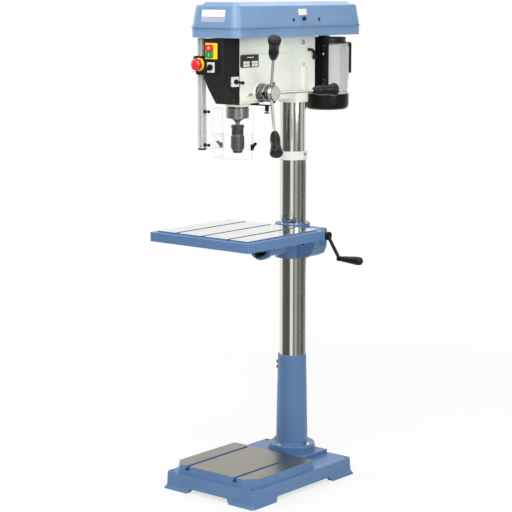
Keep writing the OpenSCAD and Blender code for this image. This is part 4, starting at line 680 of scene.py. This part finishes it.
def label_plates(looks):
    """The bare plates of the lid: a pale field over a lilac one in front, and a small one on the right."""
    seam = low("cover_lid", "z") + LID_SEAM_UP
    front = low("cover_lid", "y")
    lean = math.atan(LID_DRAFT / LID_DRAFT_H)
    for name, z, h, look in LID_PLATE_FIELDS:
        y = front + (z * MM - seam) * math.tan(lean)
        place = placed((0, y, z * MM), (0, -math.cos(lean), math.sin(lean)))
        shape = bmesh.new()
        slab(shape, LID_PLATE_W, h * MM, 0.8 * MM, place @ LET_IN, 2 * MM, 0.2 * MM)
        add_piece(name, shape, looks[look], "lid")
    x = high("cover_lid", "x") - (LID_SIDE_PLATE_Z - seam) * math.tan(lean)
    place = placed((x, LID_SIDE_PLATE_Y, LID_SIDE_PLATE_Z), (math.cos(lean), 0, math.sin(lean)))
    shape = bmesh.new()
    slab(shape, *LID_SIDE_PLATE_SIZE, place @ LET_IN, 1.5 * MM, 0.2 * MM)
    add_piece("lid_side_plate", shape, looks["label_white"], "lid")


def lid_grommets(looks):
    """Rubber grommets round the two small holes in the lid's right side."""
    lean = math.atan(LID_DRAFT / LID_DRAFT_H)
    z = low("cover_lid", "z") + GROMMETS_UP
    x = high("cover_lid", "x") - GROMMETS_OVER_SEAM * math.tan(lean)
    shape = bmesh.new()
    for y in GROMMET_YS:
        place = placed((x, y * MM, z), (math.cos(lean), 0, math.sin(lean)))
        turned(shape, [(0, -2.6 * MM), (2.4 * MM, -2.6 * MM), (2.4 * MM, 0.6 * MM), (3.4 * MM, 1.4 * MM),
                       (5 * MM, 1.2 * MM), (5.8 * MM, 0.3 * MM), (5.8 * MM, -0.3 * MM), (2.7 * MM, -0.3 * MM),
                       (2.7 * MM, -3 * MM), (0, -3 * MM)], place, 28)
    add_piece("lid_grommets", shape, looks["rubber"], "lid")


# Details of the head

# The head's right side: the raised panel, and the flank behind it
PANEL_X = 52.5 * MM
FLANK_X = 50 * MM
INFO_PLATE_AT = Vector((PANEL_X, -120 * MM, 1490.5 * MM))
OIL_PLUG_AT = (FLANK_X, 172 * MM, 1546 * MM)
HOLE_SHADE_AT = (FLANK_X, 178 * MM, 1470 * MM)
SELECTOR_FACE_Y, SELECTOR_Z = -249 * MM, 1472 * MM
SELECTOR_TURNS = (-50, 0, 40)
DIAL_BAND_W = 10 * MM
DIAL_MARKS = 40
LONG_MARK_EVERY = 5
# The pointer's bracket, screw and knob beside the dial: back and up, in mm
POINTER_AT, POINTER_SCREW_AT, POINTER_KNOB_AT = (-121, 1378), (-113, 1379), (-128, 1380)
# Screws, in mm: those of the emergency stop's box, above and below its middle, and the terminal box's
ESTOP_SCREW_XS, ESTOP_BOX_Z, ESTOP_SCREW_OUT = (-103, -50), 1479, 25
TERMINAL_SCREW_X = 30
# The motor bracket's bolts: how far out, the heights of the lower and upper pair, and of the slots' bolts
BRACKET_BOLT_X, BRACKET_BOLT_ZS, SLOT_BOLT_Z = 68, (1406, 1526), 1503
BRACKET_T = 8 * MM


def info_plate(looks):
    """A bare plate on the head's right side: black, with two blank fields and four rivets."""
    place = placed(INFO_PLATE_AT, (1, 0, 0))
    shape = bmesh.new()
    slab(shape, 96 * MM, 43 * MM, 0.9 * MM, place, 3 * MM, 0.25 * MM)
    add_piece("info_plate", shape, looks["label_black"], "stand")
    shape = bmesh.new()
    for dx in (-16, 27):
        for ix in (-1, 1):
            for iz in (-1, 1):
                slab(shape, 15.4 * MM, 8.4 * MM, 0.3 * MM, place @ Matrix.Translation(
                    ((dx + 8.4 * ix) * MM, (-9.5 + 4.8 * iz) * MM, 0.8 * MM)), 0.8 * MM)
    slab(shape, 34 * MM, 3 * MM, 0.3 * MM, place @ Matrix.Translation((4 * MM, 12 * MM, 0.8 * MM)), 1 * MM)
    add_piece("info_plate_fields", shape, looks["label_white"], "stand")
    shape = bmesh.new()
    for ix in (-1, 1):
        for iz in (-1, 1):
            turned(shape, [(0, 0), (1.8 * MM, 0), (1.7 * MM, 0.6 * MM), (1 * MM, 1 * MM), (0, 1.1 * MM)],
                   place @ Matrix.Translation((ix * 44.5 * MM, iz * 18 * MM, 0.8 * MM)), 16)
    add_piece("info_plate_rivets", shape, looks["steel"], "stand")


def head_plugs(looks):
    """The oil plug, and a black screw-shaped piece that paints the shade of a small hole, in the head's right
    side.
    """
    place = placed(OIL_PLUG_AT, (1, 0, 0))
    shape = bmesh.new()
    turned(shape, [(0, -1 * MM), (8.6 * MM, -1 * MM), (8.6 * MM, 0.8 * MM), (7.4 * MM, 1.2 * MM),
                   (7 * MM, 3.4 * MM), (5.8 * MM, 4.2 * MM), (3.6 * MM, 4.2 * MM), (3 * MM, 1.6 * MM),
                   (0, 1.6 * MM)], place)
    add_piece("oil_plug", shape, looks["steel"], "stand")
    # A black screw-shaped piece paints the shade in a small hole.
    place = placed(HOLE_SHADE_AT, (1, 0, 0))
    shape = bmesh.new()
    turned(shape, [(0, -1 * MM), (3.2 * MM, -1 * MM), (3.2 * MM, 0.25 * MM), (1.7 * MM, 0.3 * MM),
                   (0, -0.6 * MM)], place, 24)
    add_piece("grub_screw", shape, looks["black_paint"], "stand")


def switch_marks(looks):
    """The line and the circle on the two buttons, and the ticks round the selector."""
    for name, button, body in (("start_mark", "start_button", "start"), ("stop_mark", "stop_button", "stop")):
        centre = middle(button)
        place = placed((centre.x, low(button, "y"), centre.z), (0, -1, 0)) @ LET_IN
        shape = bmesh.new()
        if body == "start":
            slab(shape, 1.8 * MM, 9 * MM, 0.4 * MM, place, 0.6 * MM)
        else:
            ring(shape, 3 * MM, 4.6 * MM, 0.4 * MM, place)
        add_piece(name, shape, looks["label_white"], body)
    knob = middle("selector_knob")
    shape = bmesh.new()
    beside_knob = Matrix.Translation((0, 12.8 * MM, -0.1 * MM))
    for turn in SELECTOR_TURNS:
        a = math.radians(turn)
        place = placed((knob.x, SELECTOR_FACE_Y, SELECTOR_Z), (0, -1, 0)) @ Matrix.Rotation(a, 4, "Z")
        slab(shape, 1 * MM, 2.6 * MM, 0.3 * MM, place @ beside_knob, 0.3 * MM)
    add_piece("selector_ticks", shape, looks["label_black"], "stand")


def dial_marks(looks):
    """The ring's black band and its white graduations, every fifth one long."""
    axis = middle("depth_dial")
    x0 = low("depth_dial", "x")
    radius = high("depth_dial", "z") - axis.z
    place = placed((0, axis.y, axis.z), (1, 0, 0))
    shape = bmesh.new()
    band = place @ Matrix.Translation((0, 0, x0 + 1 * MM))
    ring(shape, radius - 0.4 * MM, radius + 0.25 * MM, DIAL_BAND_W, band, 90)
    add_piece("dial_band", shape, looks["label_black"], "dial")
    shape = bmesh.new()
    for i in range(DIAL_MARKS):
        length, width = (6, 1.4) if i % LONG_MARK_EVERY == 0 else (3, 0.7)
        spot = Matrix.Rotation(math.radians(360 / DIAL_MARKS * i), 4, "Z") @ Matrix.Translation(
            (radius, 0, x0 + (1.6 + length / 2) * MM)) @ Matrix.Rotation(math.pi / 2, 4, "Y")
        slab(shape, length * MM, width * MM, 0.45 * MM, place @ spot)
    add_piece("dial_graduations", shape, looks["label_white"], "dial")


def dial_pointer(looks):
    """The pointer's bracket beside the dial ring, its screw and its locking knob."""
    x = high("head_casting", "x") - 4 * MM

    def at(spot, out):
        return placed((x + out * MM, spot[0] * MM, spot[1] * MM), (1, 0, 0))

    shape = bmesh.new()
    slab(shape, 34 * MM, 11 * MM, 4 * MM, at(POINTER_AT, 0) @ LET_IN, 4 * MM, 1 * MM)
    add_piece("dial_pointer", shape, looks["white"], "stand")
    shape = bmesh.new()
    screw(shape, 3 * MM, 2 * MM, at(POINTER_SCREW_AT, 3.6))
    add_piece("pointer_screw", shape, looks["black_paint"], "stand")
    shape = bmesh.new()
    turned(shape, [(0, -1 * MM), (4.4 * MM, -1 * MM), (4.4 * MM, 5 * MM), (3.6 * MM, 6 * MM), (0, 6 * MM)],
           at(POINTER_KNOB_AT, 3), 24)
    add_piece("pointer_knob", shape, looks["steel"], "stand")


def set_screws(looks):
    """Small screws on the emergency stop's box and on the terminal box."""
    shape = bmesh.new()
    y = low("estop_box", "y")
    for dz in (-ESTOP_SCREW_OUT, ESTOP_SCREW_OUT):
        for x in ESTOP_SCREW_XS:
            screw(shape, 2.4 * MM, 1 * MM, placed((x * MM, y, (ESTOP_BOX_Z + dz) * MM), (0, -1, 0)))
    add_piece("estop_box_screws", shape, looks["steel"], "stand")
    shape = bmesh.new()
    y = high("terminal_box", "y")
    a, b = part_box("terminal_box")
    for x in (-TERMINAL_SCREW_X, TERMINAL_SCREW_X):
        for z in (b.z - 12 * MM, a.z + 26 * MM):
            screw(shape, 3 * MM, 1.2 * MM, placed((x * MM, y - 0.6 * MM, z), (0, 1, 0)))
    add_piece("terminal_box_screws", shape, looks["steel"], "motor")


WING_NUT_Z, WING_NUT_TURN = 1205 * MM, math.radians(45)
WING_T = 4.6 * MM
GUARD_SCREW_INSET = 8 * MM


def wing_nuts(looks):
    """The two wing nuts that clamp the sliding part of the shield, one on each of its walls."""
    for name, x, y, side in (("wing_nut_right", high("guard_shield", "x"), -121 * MM, 1),
                             ("wing_nut_left", low("guard_shield", "x"), -131 * MM, -1)):
        place = placed((x, y, WING_NUT_Z), (side, 0, 0)) @ Matrix.Rotation(WING_NUT_TURN, 4, "Z")
        shape = bmesh.new()
        turned(shape, [(0, -0.2 * MM), (7.6 * MM, -0.2 * MM), (7.6 * MM, 2.4 * MM), (6 * MM, 7.6 * MM),
                       (2.4 * MM, 8 * MM), (2.4 * MM, 11 * MM), (0, 11.4 * MM)], place, 24)
        for way in (-1, 1):
            wing = place @ Matrix.Translation((way * 9.5 * MM, 0, 7.5 * MM)) @ Matrix.Rotation(
                math.pi / 2, 4, "X") @ Matrix.Rotation(math.radians(24 * way), 4, "Z")
            wing = wing @ Matrix.Translation((0, 0, -WING_T / 2))
            slab(shape, 15 * MM, 12 * MM, WING_T, wing, 5 * MM, 0.9 * MM)
        add_piece(name, shape, looks["black_paint"], "guard")


def guard_screws(looks):
    """The two waisted screws that hold the shield to the rod."""
    a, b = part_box("guard_fittings")
    shape = bmesh.new()
    for z in (a.z + GUARD_SCREW_INSET, b.z - GUARD_SCREW_INSET):
        turned(shape, [(0, 0), (6 * MM, 0), (6 * MM, 3 * MM), (2.2 * MM, 3.6 * MM), (2.2 * MM, 4.8 * MM),
                       (5.4 * MM, 9.2 * MM), (5.4 * MM, 10.4 * MM), (2.2 * MM, 15 * MM), (2.2 * MM, 19 * MM),
                       (5.4 * MM, 19 * MM), (5.4 * MM, 22 * MM), (4.4 * MM, 23 * MM), (0, 23 * MM)],
               placed((a.x, (a.y + b.y) / 2, z), (1, 0, 0)), 28)
    screws = add_piece("guard_screws", shape, looks["black_plastic"], "guard")
    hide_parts("guard_fittings")


def bracket_bolts(looks):
    """Washers under the motor bracket's four bolts, and the bolts seen in its slots."""
    face = low("motor_body", "y") - BRACKET_T
    washers, bolts = bmesh.new(), bmesh.new()
    for side in (-1, 1):
        x = side * BRACKET_BOLT_X * MM
        for z in BRACKET_BOLT_ZS:
            ring(washers, 6 * MM, 10 * MM, 1.4 * MM, placed((x, face, z * MM), (0, -1, 0)), 28)
        screw(bolts, 5.4 * MM, 4 * MM, placed((x, face, SLOT_BOLT_Z * MM), (0, -1, 0)))
    add_piece("bracket_washers", washers, looks["dark_steel"], "motor")
    add_piece("bracket_bolts", bolts, looks["steel"], "motor")


make_camera()
make_world()
make_lamps()
make_floor()
materials = make_materials()
dress_nodes(materials)
label_plates(materials)
lid_grommets(materials)
info_plate(materials)
head_plugs(materials)
switch_marks(materials)
dial_marks(materials)
dial_pointer(materials)
set_screws(materials)
wing_nuts(materials)
guard_screws(materials)
bracket_bolts(materials)
